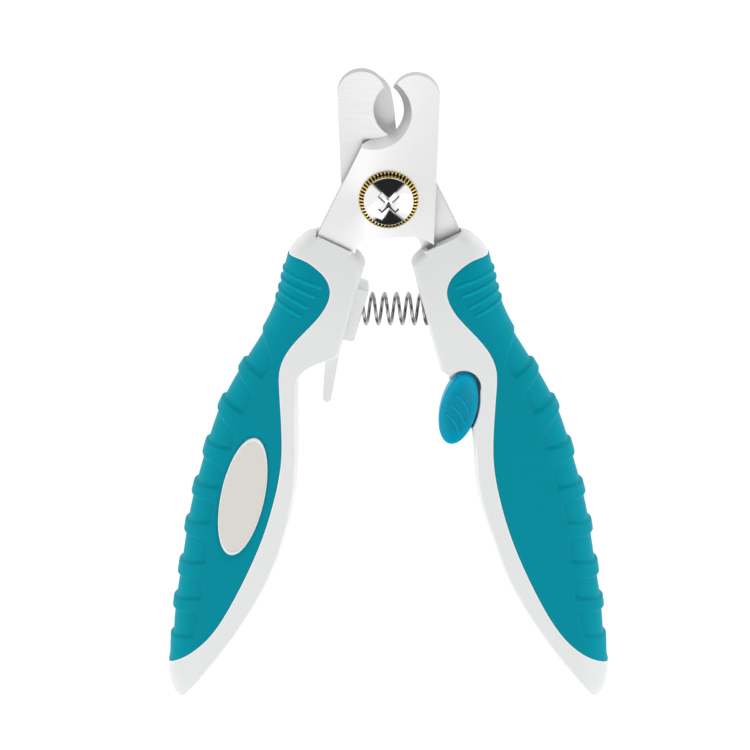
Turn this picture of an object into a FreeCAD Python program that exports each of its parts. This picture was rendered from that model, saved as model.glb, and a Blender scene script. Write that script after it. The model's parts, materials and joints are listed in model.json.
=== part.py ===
"""Pet nail trimmer: two crossed steel blades on one pivot screw, each clamped in a two-shell
handle with a soft overmoulded grip, with a return spring, a handle lock and a swing-aside guard.

Frame: the trimmer lies flat on its back. +Z points out of its front face, +Y from the handles
towards the blade tips, and the origin is the centre of its footprint on the table. The pivot
axis is the line X = 0, Y = pivot_y. The handles are drawn open.

Outlines are drawn about the pivot as (u, v): v is measured along +Y, and u across it. A handle's
u is positive outboard, so side = LEFT or RIGHT turns it into X.
"""
import FreeCAD, Part
import math
import os

import Sketcher
from FreeCAD import Placement, Rotation, Vector

LEFT = -1
RIGHT = 1

SIZES = [
    # the whole trimmer
    ("pivot_y", 48.3),
    ("thickness", 15.0),
    ("shear_plane", 7.5),
    # blades
    ("blade_low", 4.45),
    ("blade_thickness", 3.0),
    ("shear_gap", 0.1),
    ("notch_radius", 7.4),
    ("notch_bevel", 1.9),
    ("notch_u", 3.7),
    ("notch_v", 21.9),
    # pivot hardware, from the front face down
    ("shank_radius", 2.9),
    ("running_gap", 0.06),
    ("head_radius", 6.2),
    ("head_height", 2.2),
    ("head_rim", 0.8),
    ("head_top_radius", 4.2),
    ("cross_length", 5.6),
    ("cross_width", 1.05),
    ("cross_depth", 1.5),
    ("ring_radius", 7.25),
    ("ring_height", 1.2),
    ("ring_tooth", 0.3),
    ("ring_teeth", 56),
    ("spring_washer_radius", 5.4),
    ("spring_washer_low", 3.25),
    ("nut_flats", 10.0),
    ("nut_low", 0.5),
    ("nut_height", 1.6),
    ("nut_fit", 0.02),
    ("washer_gap", 0.05),
    # guard plate
    ("guard_low", 2.2),
    ("guard_thickness", 1.0),
    ("guard_boss_radius", 7.0),
    # handles
    ("edge_round", 2.0),
    ("grip_wall", 2.8),
    ("tang_gap", 0.05),
    ("rivet_radius", 1.5),
    ("rivet_low", 3.4),
    ("rivet_length", 8.2),
    ("rivet_fit", 0.02),
    # return spring and its seat
    ("spring_v", -28.8),
    ("spring_radius", 3.75),
    ("spring_wire", 0.4),
    ("spring_pitch", 3.0),
    ("spring_left", -9.4),
    ("spring_length", 22.2),
    ("spring_bore", 4.6),
    ("bore_end_gap", 0.1),
    ("left_bore_depth", 12.0),
    ("right_bore_start", 4.0),
    ("right_bore_depth", 8.9),
    ("seat_length", 13.8),
    ("seat_proud", 2.6),
    ("seat_depth", 3.0),
    ("seat_height", 9.0),
    ("seat_gap", 0.05),
    # handle lock
    ("lock_u", 18.3),
    ("lock_v", -46.7),
    ("lock_swing", 40.0),
    ("lock_pin_radius", 1.2),
    ("lock_pin_low", 2.6),
    ("lock_pin_length", 10.4),
    ("lever_low", 6.3),
    ("lever_thickness", 2.4),
    ("lever_boss_radius", 3.1),
    ("lock_slot_low", 6.0),
    ("lock_slot_height", 3.0),
    ("pad_low", 10.6),
    ("pad_height", 4.4),
    ("pad_long", 9.2),
    ("pad_short", 4.5),
    ("pad_tilt", 13.8),
    ("pad_post_radius", 2.4),
    ("pad_gap", 0.45),
    ("pad_bed", 10.3),
    ("pad_overlap", 1.0),
    ("pad_turning_radius", 4.2),
    ("post_gap", 0.1),
    ("pin_gap", 0.04),
    ("detent_low", 11.0),
    ("detent_height", 2.6),
    ("catch_low", 5.5),
    ("catch_thickness", 4.0),
    # badge plate
    ("badge_u", 35.6),
    ("badge_v", -74.6),
    ("badge_long", 15.3),
    ("badge_short", 5.3),
    ("badge_tilt", 11.7),
    ("badge_sink", 0.8),
    ("badge_thickness", 1.0),
    ("badge_clear", 4.0),
]

doc = FreeCAD.newDocument("PetNailTrimmer")
sheet = doc.addObject("Spreadsheet::Sheet", "Sizes")
for row, (alias, value) in enumerate(SIZES, start=1):
    sheet.set("A%d" % row, alias)
    sheet.set("B%d" % row, str(value))
    sheet.setAlias("B%d" % row, alias)
doc.recompute()


def size(alias):
    """The sheet's value for an alias, in millimetres or degrees."""
    return float(sheet.get(alias))


# ------------------------------------------------------------------ outlines
def line_to(end):
    return ("line", [end])


def arc_to(middle, end):
    return ("arc", [middle, end])


def curve_to(*points):
    return ("curve", list(points))


def outline(side, start, *steps):
    """Closed run of sketch geometry from (u, v) points, mirrored to the given side."""
    def place(point):
        return Vector(side * point[0], point[1], 0)

    geometry = []
    here = place(start)
    for kind, points in steps:
        ends = [place(point) for point in points]
        if kind == "line":
            geometry.append(Part.LineSegment(here, ends[0]))
        elif kind == "arc":
            geometry.append(Part.Arc(here, ends[0], ends[1]))
        else:
            spline = Part.BSplineCurve()
            spline.interpolate([here] + ends)
            geometry.append(spline)
        here = ends[-1]
    return geometry


def polygon(side, *points):
    """Closed straight-sided outline."""
    return outline(side, points[0], *[line_to(point) for point in points[1:] + points[:1]])


def inset(points, depth):
    """The same open run of points moved sideways by depth, to the left of its direction."""
    moved = []
    last = len(points) - 1
    for index, (u, v) in enumerate(points):
        before = points[max(index - 1, 0)]
        after = points[min(index + 1, last)]
        along_u = after[0] - before[0]
        along_v = after[1] - before[1]
        length = math.hypot(along_u, along_v)
        moved.append((u - depth * along_v / length, v + depth * along_u / length))
    return moved


# ------------------------------------------------------------------ features
def origin_plane(body, role):
    return [item for item in body.Origin.OriginFeatures if item.Role == role][0]


def new_body(label, on_pivot=True):
    """Body whose own origin is the pivot axis on the table plane."""
    body = doc.addObject("PartDesign::Body", label)
    if on_pivot:
        body.setExpression("Placement.Base.y", "Sizes.pivot_y")
    return body


def new_sketch(body, geometry, low):
    """Sketch parallel to the table at height low, closed by coincident corners."""
    sketch = body.newObject("Sketcher::SketchObject", body.Label + "_sketch")
    sketch.AttachmentSupport = [(origin_plane(body, "XY_Plane"), "")]
    sketch.MapMode = "FlatFace"
    sketch.setExpression("AttachmentOffset.Base.z", low)
    edges = [sketch.addGeometry(item, False) for item in geometry]
    if len(edges) > 1:
        for first, second in zip(edges, edges[1:] + edges[:1]):
            join_ends(sketch, first, second)
    doc.recompute()
    return sketch


def join_ends(sketch, first, second):
    """Tie the end of one edge to the start of the next; a clockwise arc has its ends swapped."""
    pairs = [(a, b) for a in (1, 2) for b in (1, 2)
             if sketch.getPoint(first, a).isEqual(sketch.getPoint(second, b), 0.001)]
    sketch.addConstraint(Sketcher.Constraint("Coincident", first, pairs[0][0], second, pairs[0][1]))


def circle_sketch(body, centre, radius, low):
    """Sketch of one circle whose radius is bound to the sheet."""
    geometry = [Part.Circle(Vector(centre[0], centre[1], 0), Vector(0, 0, 1), 1.0)]
    sketch = new_sketch(body, geometry, low)
    sketch.addConstraint(Sketcher.Constraint("Radius", 0, 1.0))
    sketch.renameConstraint(0, "radius")
    sketch.setExpression("Constraints.radius", radius)
    doc.recompute()
    return sketch


def pad(body, sketch, height):
    feature = body.newObject("PartDesign::Pad", body.Label + "_pad")
    feature.Profile = sketch
    feature.setExpression("Length", height)
    doc.recompute()
    return feature


def pocket(body, sketch, depth):
    """Cut upwards from the sketch, and make sure that something was cut."""
    before = body.Shape.Volume
    feature = body.newObject("PartDesign::Pocket", body.Label + "_pocket")
    feature.Profile = sketch
    feature.Reversed = True
    feature.setExpression("Length", depth)
    doc.recompute()
    if body.Shape.Volume >= before:
        raise ValueError("pocket cuts nothing in " + body.Label)
    return feature


def plate(label, geometry, low, height, on_pivot=True):
    """Flat body of one outline."""
    body = new_body(label, on_pivot)
    pad(body, new_sketch(body, geometry, low), height)
    return body


def add_plate(body, geometry, low, height):
    pad(body, new_sketch(body, geometry, low), height)


def disc(label, centre, radius, low, height, on_pivot=True):
    body = new_body(label, on_pivot)
    pad(body, circle_sketch(body, centre, radius, low), height)
    return body


def bore(body, centre, radius, low, height):
    pocket(body, circle_sketch(body, centre, radius, low), height)


def cut(label, base, tools, on_pivot=False):
    result = doc.addObject("Part::Cut", label)
    result.Base = base
    result.Tool = tools[0] if len(tools) == 1 else fuse(label + "_tools", tools)
    return finish_boolean(result, on_pivot)


def common(label, first, second, on_pivot=False):
    result = doc.addObject("Part::Common", label)
    result.Base = first
    result.Tool = second
    return finish_boolean(result, on_pivot)


def fuse(label, shapes):
    result = doc.addObject("Part::MultiFuse", label)
    result.Shapes = shapes
    return finish_boolean(result, False)


def finish_boolean(result, on_pivot):
    if on_pivot:
        result.setExpression("Placement.Base.y", "Sizes.pivot_y")
    doc.recompute()
    return result


# ------------------------------------------------------------------ blades
TANG_INNER = [(-8.0, -13.2), (-15.2, -32.0)]
TANG_OUTER = [(-23.0, -30.2), (-17.4, -9.4)]


def blade_outline(side):
    """Jaw, pivot plate and tang of one blade, without its claw notch. u runs to the jaw's side."""
    return outline(
        side,
        (-6.4, 13.7),
        line_to((-3.0, 14.9)),
        line_to((0.84, 26.67)),
        arc_to((6.6, 31.5), (12.45, 25.65)),
        line_to((11.0, -10.7)),
        line_to((11.2, -11.6)),
        line_to((7.4, -9.4)),
        line_to((-4.8, -10.2)),
        arc_to((-7.0, -11.1), TANG_INNER[0]),
        line_to(TANG_INNER[1]),
        arc_to((-19.6, -33.4), TANG_OUTER[0]),
        line_to(TANG_OUTER[1]),
        line_to((-6.4, 13.7)),
    )


def notch_cone(label, side, edge_level, opens_up):
    """Cone that grinds the notch: narrow at the shear plane, wide at the blade's outer face."""
    cone = doc.addObject("Part::Cone", label)
    cone.setExpression("Radius1", "Sizes.notch_radius")
    cone.setExpression("Radius2", "Sizes.notch_radius + Sizes.notch_bevel")
    cone.setExpression("Height", "Sizes.blade_thickness")
    turn = 0 if opens_up else 180
    cone.Placement = Placement(Vector(0, 0, 0), Rotation(Vector(1, 0, 0), turn))
    cone.setExpression("Placement.Base.x", "%d * Sizes.notch_u" % -side)
    cone.setExpression("Placement.Base.y", "Sizes.notch_v")
    cone.Placement.Base.z = edge_level
    doc.recompute()
    return cone


def blade(label, side, low, edge_level, opens_up):
    """One blade: the plate, its pivot and rivet holes, and the bevelled notch."""
    body = plate(label + "_plate", blade_outline(side), low, "Sizes.blade_thickness", on_pivot=False)
    bore(body, (0, 0), "Sizes.shank_radius + Sizes.running_gap", low, "Sizes.blade_thickness")
    for u, v in RIVETS:
        bore(body, (-side * u, v), "Sizes.rivet_radius", low, "Sizes.blade_thickness")
    cone = notch_cone(label + "_notch", side, edge_level, opens_up)
    return cut(label, body, [cone], on_pivot=True)


RIVETS = [(17.0, -19.5), (19.2, -27.5)]
FRONT_LOW = "Sizes.blade_low + Sizes.blade_thickness + Sizes.shear_gap"
rear_top = size("blade_low") + size("blade_thickness")
front_low = rear_top + size("shear_gap")
front_blade = blade("front_blade", RIGHT, FRONT_LOW, front_low, opens_up=True)
rear_blade = blade("rear_blade", LEFT, "Sizes.blade_low", rear_top, opens_up=False)


# ------------------------------------------------------------------ pivot hardware
FRONT_FACE = FRONT_LOW + " + Sizes.blade_thickness"
HEAD_LOW = FRONT_FACE + " + Sizes.ring_height"


def pivot_screw():
    """Domed screw with a cross recess; its shank runs down through the nut."""
    body = new_body("pivot_screw")
    shank = circle_sketch(body, (0, 0), "Sizes.shank_radius", "Sizes.nut_low")
    pad(body, shank, HEAD_LOW + " - Sizes.nut_low")
    rim = circle_sketch(body, (0, 0), "Sizes.head_radius", HEAD_LOW)
    pad(body, rim, "Sizes.head_rim")
    crown = body.newObject("PartDesign::AdditiveCone", "head_crown")
    crown.AttachmentSupport = [(origin_plane(body, "XY_Plane"), "")]
    crown.MapMode = "FlatFace"
    crown.setExpression("AttachmentOffset.Base.z", HEAD_LOW + " + Sizes.head_rim")
    crown.setExpression("Radius1", "Sizes.head_radius")
    crown.setExpression("Radius2", "Sizes.head_top_radius")
    crown.setExpression("Height", "Sizes.head_height - Sizes.head_rim")
    doc.recompute()
    half_long = size("cross_length") / 2
    half_wide = size("cross_width") / 2
    for long_u, long_v in ((half_long, half_wide), (half_wide, half_long)):
        slot = polygon(RIGHT, (-long_u, -long_v), (long_u, -long_v), (long_u, long_v), (-long_u, long_v))
        low = HEAD_LOW + " + Sizes.head_height - Sizes.cross_depth"
        pocket(body, new_sketch(body, slot, low), "Sizes.cross_depth")
    return body


def toothed_ring():
    """Serrated washer under the screw head."""
    teeth = int(size("ring_teeth"))
    outer = size("ring_radius")
    root = outer - size("ring_tooth")
    corners = []
    for step in range(2 * teeth):
        angle = math.pi * step / teeth
        radius = outer if step % 2 == 0 else root
        corners.append((radius * math.cos(angle), radius * math.sin(angle)))
    body = plate("pivot_ring", polygon(RIGHT, *corners), FRONT_FACE, "Sizes.ring_height")
    bore(body, (0, 0), "Sizes.shank_radius + Sizes.running_gap", FRONT_FACE, "Sizes.ring_height")
    return body


def spring_washer():
    """Curved friction washer between the rear blade and the guard."""
    height = "Sizes.blade_low - Sizes.spring_washer_low - Sizes.washer_gap"
    body = disc("spring_washer", (0, 0), "Sizes.spring_washer_radius", "Sizes.spring_washer_low", height)
    bore(body, (0, 0), "Sizes.shank_radius + Sizes.running_gap", "Sizes.spring_washer_low", height)
    return body


def pivot_nut():
    """Thin hexagon nut that holds the stack together at the back."""
    corner = size("nut_flats") / 2 / math.cos(math.pi / 6)
    corners = [(corner * math.cos(math.pi * step / 3), corner * math.sin(math.pi * step / 3))
               for step in range(6)]
    body = plate("pivot_nut", polygon(RIGHT, *corners), "Sizes.nut_low", "Sizes.nut_height")
    bore(body, (0, 0), "Sizes.shank_radius + Sizes.nut_fit", "Sizes.nut_low", "Sizes.nut_height")
    return body


def safety_guard():
    """Stop plate behind the notch, which sets how far a claw goes in and swings aside."""
    body = disc("safety_guard", (0, 0), "Sizes.guard_boss_radius", "Sizes.guard_low",
                "Sizes.guard_thickness")
    arm = outline(
        RIGHT,
        (5.4, 2.0),
        curve_to((2.6, 9.5), (1.8, 16.0), (1.3, 21.1), (0.7, 24.6)),
        arc_to((-0.9, 27.9), (-4.2, 29.5)),
        line_to((-7.2, 29.5)),
        arc_to((-10.2, 27.8), (-11.0, 24.4)),
        curve_to((-9.8, 14.0), (-6.2, 2.0)),
        line_to((5.4, 2.0)),
    )
    add_plate(body, arm, "Sizes.guard_low", "Sizes.guard_thickness")
    bore(body, (0, 0), "Sizes.shank_radius + Sizes.running_gap", "Sizes.guard_low",
         "Sizes.guard_thickness")
    return body


hardware = [pivot_screw(), toothed_ring(), spring_washer(), pivot_nut(), safety_guard()]


# ------------------------------------------------------------------ handles
MOUTH_INNER = (8.2, -13.7)
MOUTH_OUTER = (17.1, -9.0)
SHOULDER_TOP = (24.4, -14.2)
OUTER_EDGE = [(25.8, -20.0), (27.6, -27.0), (31.0, -36.0), (36.6, -45.5), (41.0, -54.5),
              (44.6, -66.0), (47.9, -79.0), (50.1, -93.0), (51.9, -106.0), (53.6, -117.5)]
TIP = (51.3, -128.3)
INNER_EDGE = [(48.6, -126.2), (42.0, -118.0), (34.5, -107.2), (28.6, -96.2), (24.8, -85.5),
              (22.6, -76.0), (21.7, -66.0)]
INNER_FACE = {LEFT: ((5.5, -15.9), (11.9, -39.2)), RIGHT: ((5.4, -14.9), (12.6, -45.2))}
SHOULDER = {
    LEFT: [(21.7, -56.0), (21.6, -50.2), (20.6, -46.8), (18.2, -44.4)],
    RIGHT: [(21.6, -60.5), (20.9, -56.2), (18.6, -52.8), (16.2, -50.4), (14.9, -47.2)],
}
SEAM = [(20.4, -13.6), (17.2, -16.2), (15.0, -19.6), (14.4, -22.8), (15.8, -26.5), (20.0, -31.6),
        (24.6, -36.8), (27.0, -42.0), (27.2, -47.0), (26.7, -57.0), (26.8, -66.0), (28.6, -76.0),
        (31.4, -85.4), (34.9, -94.0), (39.6, -103.5), (44.5, -111.0), (49.5, -115.6)]
WHOLE = "Sizes.thickness"
REACH = 200.0


def handle_outline(side):
    """The whole handle as seen from the front: collar, spring face, shoulder and long grip."""
    face_top, face_foot = INNER_FACE[side]
    return outline(
        side,
        MOUTH_INNER,
        line_to(MOUTH_OUTER),
        arc_to((22.0, -10.3), SHOULDER_TOP),
        curve_to(*OUTER_EDGE),
        arc_to((53.6, -124.0), TIP),
        arc_to((50.0, -127.8), INNER_EDGE[0]),
        curve_to(*INNER_EDGE[1:], *SHOULDER[side]),
        line_to(face_foot),
        line_to(face_top),
        arc_to((6.3, -14.2), MOUTH_INNER),
    )


def handle_blank(name, side):
    """Full-thickness handle with its long edges eased front and back."""
    body = plate(name + "_blank", handle_outline(side), "0", WHOLE, on_pivot=False)
    eased = doc.addObject("Part::Fillet", name + "_eased")
    eased.Base = body
    radius = size("edge_round")
    eased.Edges = [(number, radius, radius) for number, edge in enumerate(body.Shape.Edges, start=1)
                   if edge.BoundBox.ZLength < 0.01]
    doc.recompute()
    return eased


def grip_zone(name, side):
    """Everything outboard of the seam between hard shell and soft grip."""
    geometry = outline(side, (27.0, -12.4), curve_to(*SEAM, (56.0, -117.0)), line_to((70.0, -117.0)),
                       line_to((70.0, -12.4)), line_to((27.0, -12.4)))
    return plate(name + "_zone", geometry, "0", WHOLE, on_pivot=False)


def grip_core(name, side):
    """Hard tenon under the grip: the outer edge moved inwards by the grip's wall."""
    wall = size("grip_wall")
    run = inset([SHOULDER_TOP] + OUTER_EDGE[:-1], -wall)
    geometry = outline(side, (12.0, run[0][1]), line_to(run[0]), curve_to(*run[1:]),
                       line_to((47.0, -108.0)), line_to((36.0, -100.0)), line_to((24.5, -66.0)),
                       line_to((24.0, -44.0)), line_to((12.0, -28.0)), line_to((12.0, run[0][1])))
    return plate(name + "_core", geometry, "Sizes.grip_wall", WHOLE + " - 2 * Sizes.grip_wall",
                 on_pivot=False)


def half_space(name, low, height):
    """Slab that keeps the front or the rear shell."""
    slab = doc.addObject("Part::Box", name)
    slab.Length = 2 * REACH
    slab.Width = 2 * REACH
    slab.setExpression("Height", height)
    slab.Placement.Base = Vector(-REACH, -REACH, 0)
    slab.setExpression("Placement.Base.z", low)
    doc.recompute()
    return slab


def tang_slot(name, side, low):
    """Slot between the shells that the blade's tang is clamped in."""
    gap = size("tang_gap")
    inner = [(-TANG_INNER[0][0] - gap, -9.0), (-TANG_INNER[0][0] - gap, TANG_INNER[0][1]),
             (-TANG_INNER[1][0] - gap, TANG_INNER[1][1])]
    outer = [(-TANG_OUTER[0][0] + gap, TANG_OUTER[0][1]), (-TANG_OUTER[1][0] + gap, -8.0)]
    geometry = outline(side, inner[0], line_to(inner[1]), line_to(inner[2]),
                       arc_to((19.6, -33.4 - gap), outer[0]), line_to(outer[1]), line_to(inner[0]))
    return plate(name, geometry, low, "Sizes.blade_thickness + Sizes.shear_gap / 2", on_pivot=False)


def rivet_pair(label, side, radius, on_pivot=True):
    """Two tang rivets."""
    body = new_body(label, on_pivot)
    for u, v in RIVETS:
        pad(body, circle_sketch(body, (side * u, v), radius, "Sizes.rivet_low"), "Sizes.rivet_length")
    return body


def spring_bore(name, left_end, length):
    """Bore along X that an end of the return spring sits in."""
    tool = doc.addObject("Part::Cylinder", name)
    tool.setExpression("Radius", "Sizes.spring_bore")
    tool.setExpression("Height", length)
    tool.Placement = Placement(Vector(0, 0, 0), Rotation(Vector(0, 1, 0), 90))
    tool.setExpression("Placement.Base.x", left_end)
    tool.setExpression("Placement.Base.y", "Sizes.spring_v")
    tool.setExpression("Placement.Base.z", "Sizes.shear_plane")
    doc.recompute()
    return tool


def seat_block(name, gap):
    """Rectangular seat on the left handle's spring face, square to that face."""
    top, foot = INNER_FACE[LEFT]
    slope = math.degrees(math.atan2(foot[0] - top[0], top[1] - foot[1]))
    along = (top[1] - size("spring_v")) / (top[1] - foot[1])
    middle = Vector(-(top[0] + along * (foot[0] - top[0])), size("spring_v"), 0)
    block = doc.addObject("Part::Box", name)
    block.setExpression("Length", "Sizes.seat_proud + Sizes.seat_depth + %s" % gap)
    block.setExpression("Width", "Sizes.seat_length + 2 * %s" % gap)
    block.setExpression("Height", "Sizes.seat_height + 2 * %s" % gap)
    turn = Rotation(Vector(0, 0, 1), -slope)
    corner = Vector(-size("seat_depth") - gap, -size("seat_length") / 2 - gap, 0)
    block.Placement = Placement(middle + turn.multVec(corner), turn)
    block.setExpression("Placement.Base.z", "Sizes.shear_plane - Sizes.seat_height / 2 - %s" % gap)
    doc.recompute()
    return block


def ellipse_outline(centre, long_radius, short_radius, tilt):
    """Ellipse whose long axis leans clockwise from +Y by tilt degrees."""
    lean = math.radians(tilt)
    middle = Vector(centre[0], centre[1], 0)
    top = middle + Vector(math.sin(lean), math.cos(lean), 0) * long_radius
    flank = middle + Vector(-math.cos(lean), math.sin(lean), 0) * short_radius
    return [Part.Ellipse(top, flank, middle)]


# ------------------------------------------------------------------ lock
LOCK = (size("lock_u"), size("lock_v"))
PAD_OFFSET = (-1.35, -5.3)
BED_STEPS = 5


def lock_placement(body, turn):
    """Put a lock piece on the lock pin's axis, turned about it."""
    body.Placement = Placement(Vector(0, 0, 0), Rotation(Vector(0, 0, 1), turn))
    body.setExpression("Placement.Base.x", "Sizes.lock_u")
    body.setExpression("Placement.Base.y", "Sizes.pivot_y + Sizes.lock_v")
    doc.recompute()


def lock_lever():
    """Steel lever with the hook, drawn where it holds the catch and stored swung clear of it."""
    body = disc("lock_lever", (0, 0), "Sizes.lever_boss_radius", "Sizes.lever_low",
                "Sizes.lever_thickness", on_pivot=False)
    hook = outline(
        RIGHT,
        (-2.9, -0.6),
        line_to((-3.6, -7.1)),
        line_to((-10.0, -7.3)),
        line_to((-10.35, -4.6)),
        line_to((-11.6, -4.7)),
        line_to((-12.0, -7.9)),
        arc_to((-11.5, -9.2), (-10.2, -9.5)),
        line_to((-2.7, -9.2)),
        line_to((2.7, -1.2)),
        line_to((-2.9, -0.6)),
    )
    add_plate(body, hook, "Sizes.lever_low", "Sizes.lever_thickness")
    bore(body, (0, 0), "Sizes.lock_pin_radius + Sizes.pin_gap", "Sizes.lever_low",
         "Sizes.lever_thickness")
    lock_placement(body, size("lock_swing"))
    return body


def lock_thumb_pad():
    """Oval thumb pad on a post that is keyed to the lever."""
    geometry = ellipse_outline(PAD_OFFSET, size("pad_long"), size("pad_short"), size("pad_tilt"))
    body = new_body("lock_thumb_pad", on_pivot=False)
    lever_top = "Sizes.lever_low + Sizes.lever_thickness"
    post = circle_sketch(body, (0, 0), "Sizes.pad_post_radius", lever_top)
    pad(body, post, "Sizes.pad_low - Sizes.lever_low - Sizes.lever_thickness + Sizes.pad_overlap")
    add_plate(body, geometry, "Sizes.pad_low", "Sizes.pad_height")
    pin_top = "Sizes.lock_pin_low + Sizes.lock_pin_length + Sizes.post_gap"
    bore(body, (0, 0), "Sizes.lock_pin_radius + Sizes.pin_gap", lever_top,
         "%s - (%s)" % (pin_top, lever_top))
    lock_placement(body, 0)
    return body


def lock_recess():
    """Bed for the thumb pad in the front of the right handle, as wide as the pad's whole swing."""
    gap = size("pad_gap")
    beds = []
    for step in range(BED_STEPS + 1):
        turn = size("lock_swing") * step / BED_STEPS
        swung = Rotation(Vector(0, 0, 1), -turn).multVec(Vector(PAD_OFFSET[0], PAD_OFFSET[1], 0))
        geometry = ellipse_outline((LOCK[0] + swung.x, LOCK[1] + swung.y), size("pad_long") + gap,
                                   size("pad_short") + gap, size("pad_tilt") + turn)
        beds.append(plate("lock_bed_%d" % step, geometry, "Sizes.pad_bed", "Sizes.thickness",
                          on_pivot=False))
    turning = disc("lock_turning", LOCK, "Sizes.pad_turning_radius", "Sizes.pad_bed",
                   "Sizes.thickness", on_pivot=False)
    post = disc("lock_post_hole", LOCK, "Sizes.pad_post_radius + Sizes.post_gap",
                "Sizes.shear_plane", "Sizes.thickness", on_pivot=False)
    return beds + [turning, post]


def lock_slot():
    """Open slot between the right shells that the lever swings in."""
    geometry = polygon(RIGHT, (10.0, -42.8), (24.0, -42.8), (24.0, -57.6), (10.0, -57.6))
    return plate("lock_slot", geometry, "Sizes.lock_slot_low", "Sizes.lock_slot_height",
                 on_pivot=False)


def lock_catch():
    """Finger at the left handle's shoulder that the lever's hook holds."""
    finger = outline(
        LEFT,
        (11.9, -39.4),
        line_to((13.9, -51.0)),
        arc_to((15.0, -52.1), (16.1, -51.0)),
        line_to((15.4, -41.9)),
        line_to((16.6, -38.4)),
        line_to((12.6, -36.0)),
        line_to((11.9, -39.4)),
    )
    return plate("lock_catch", finger, "Sizes.catch_low", "Sizes.catch_thickness")


def catch_pocket():
    """Pocket that the catch's root is clamped in."""
    geometry = polygon(LEFT, (11.0, -39.9), (12.3, -35.85), (16.9, -38.3), (15.7, -41.9),
                       (15.6, -48.0), (11.0, -48.0))
    return plate("catch_pocket", geometry, "Sizes.catch_low", "Sizes.catch_thickness",
                 on_pivot=False)


def detent_spring():
    """Small steel leaf at the end of the thumb pad's bed."""
    leaf = polygon(RIGHT, (20.0, -57.2), (20.5, -57.0), (23.2, -60.6), (22.8, -60.9))
    return plate("detent_spring", leaf, "Sizes.detent_low", "Sizes.detent_height")


# ------------------------------------------------------------------ handle assembly
front_half = half_space("front_half", "Sizes.shear_plane", WHOLE)
rear_half = half_space("rear_half", "Sizes.shear_plane - Sizes.thickness", WHOLE)


def handle(name, side, tang_low, tools, front_tools, grip_tools):
    """Grip, front shell and rear shell of one handle."""
    blank = handle_blank(name, side)
    zone = grip_zone(name, side)
    core = grip_core(name, side)
    outboard = common(name + "_outboard", blank, zone)
    sleeve = cut(name + "_sleeve", outboard, [core])
    hard = cut(name + "_hard", blank, [sleeve])
    slot = tang_slot(name + "_tang_slot", side, tang_low)
    holes = rivet_pair(name + "_rivet_bore", side, "Sizes.rivet_radius", on_pivot=False)
    grip = cut(name + "_grip", sleeve, [slot, holes] + grip_tools, on_pivot=True)
    hollow = cut(name + "_hollow", hard, [slot, holes] + tools)
    rear = common(name + "_rear_shell", hollow, rear_half, on_pivot=True)
    if front_tools:
        front = common(name + "_front_whole", hollow, front_half)
        front = cut(name + "_front_shell", front, front_tools, on_pivot=True)
    else:
        front = common(name + "_front_shell", hollow, front_half, on_pivot=True)
    return grip, front, rear


def detent_bed():
    """Groove that the detent leaf lies in."""
    geometry = polygon(RIGHT, (19.9, -57.2), (20.6, -56.9), (23.3, -60.6), (22.7, -61.0))
    return plate("detent_bed", geometry, "Sizes.detent_low", "Sizes.detent_height", on_pivot=False)


right_bore = spring_bore("right_spring_bore", "Sizes.right_bore_start", "Sizes.right_bore_depth")
left_bore = spring_bore("left_spring_bore", "Sizes.spring_left - Sizes.bore_end_gap",
                        "Sizes.left_bore_depth")
pin_bore = disc("lock_pin_bore", LOCK, "Sizes.lock_pin_radius", "Sizes.lock_pin_low",
                "Sizes.lock_pin_length", on_pivot=False)
badge_outline = ellipse_outline((-size("badge_u"), size("badge_v")), size("badge_long"),
                                size("badge_short"), size("badge_tilt"))
badge_bed = plate("badge_bed", badge_outline, WHOLE + " - Sizes.badge_sink", "Sizes.badge_clear",
                  on_pivot=False)
left_grip, left_front, left_rear = handle(
    "left", LEFT, "Sizes.blade_low + Sizes.blade_thickness + Sizes.shear_gap / 2",
    [seat_block("seat_pocket", size("seat_gap")), catch_pocket()], [], [badge_bed])
right_grip, right_front, right_rear = handle(
    "right", RIGHT, "Sizes.blade_low", [right_bore, lock_slot(), pin_bore],
    lock_recess() + [detent_bed()], [])
badge = plate("left_badge", badge_outline, WHOLE + " - Sizes.badge_sink", "Sizes.badge_thickness")

seat = cut("left_spring_seat", seat_block("seat_blank", 0), [left_bore], on_pivot=True)


def return_spring():
    """Open-coiled compression spring between the two handles, wound about its own +Z."""
    body = new_body("return_spring", on_pivot=False)
    section = body.newObject("Sketcher::SketchObject", "spring_section")
    section.AttachmentSupport = [(origin_plane(body, "XZ_Plane"), "")]
    section.MapMode = "FlatFace"
    section.addGeometry(Part.Circle(Vector(size("spring_radius"), 0, 0), Vector(0, 0, 1),
                                    size("spring_wire")), False)
    section.addConstraint(Sketcher.Constraint("Radius", 0, size("spring_wire")))
    section.renameConstraint(0, "wire")
    section.setExpression("Constraints.wire", "Sizes.spring_wire")
    doc.recompute()
    coil = body.newObject("PartDesign::AdditiveHelix", "spring_coil")
    coil.Profile = section
    coil.ReferenceAxis = (section, ["V_Axis"])
    coil.Mode = 0
    coil.setExpression("Pitch", "Sizes.spring_pitch")
    coil.setExpression("Height", "Sizes.spring_length - 2 * Sizes.spring_wire")
    body.Placement = Placement(Vector(0, 0, 0), Rotation(Vector(0, 1, 0), 90))
    body.setExpression("Placement.Base.x", "Sizes.spring_left + Sizes.spring_wire")
    body.setExpression("Placement.Base.y", "Sizes.pivot_y + Sizes.spring_v")
    body.setExpression("Placement.Base.z", "Sizes.shear_plane")
    doc.recompute()
    return body


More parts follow.
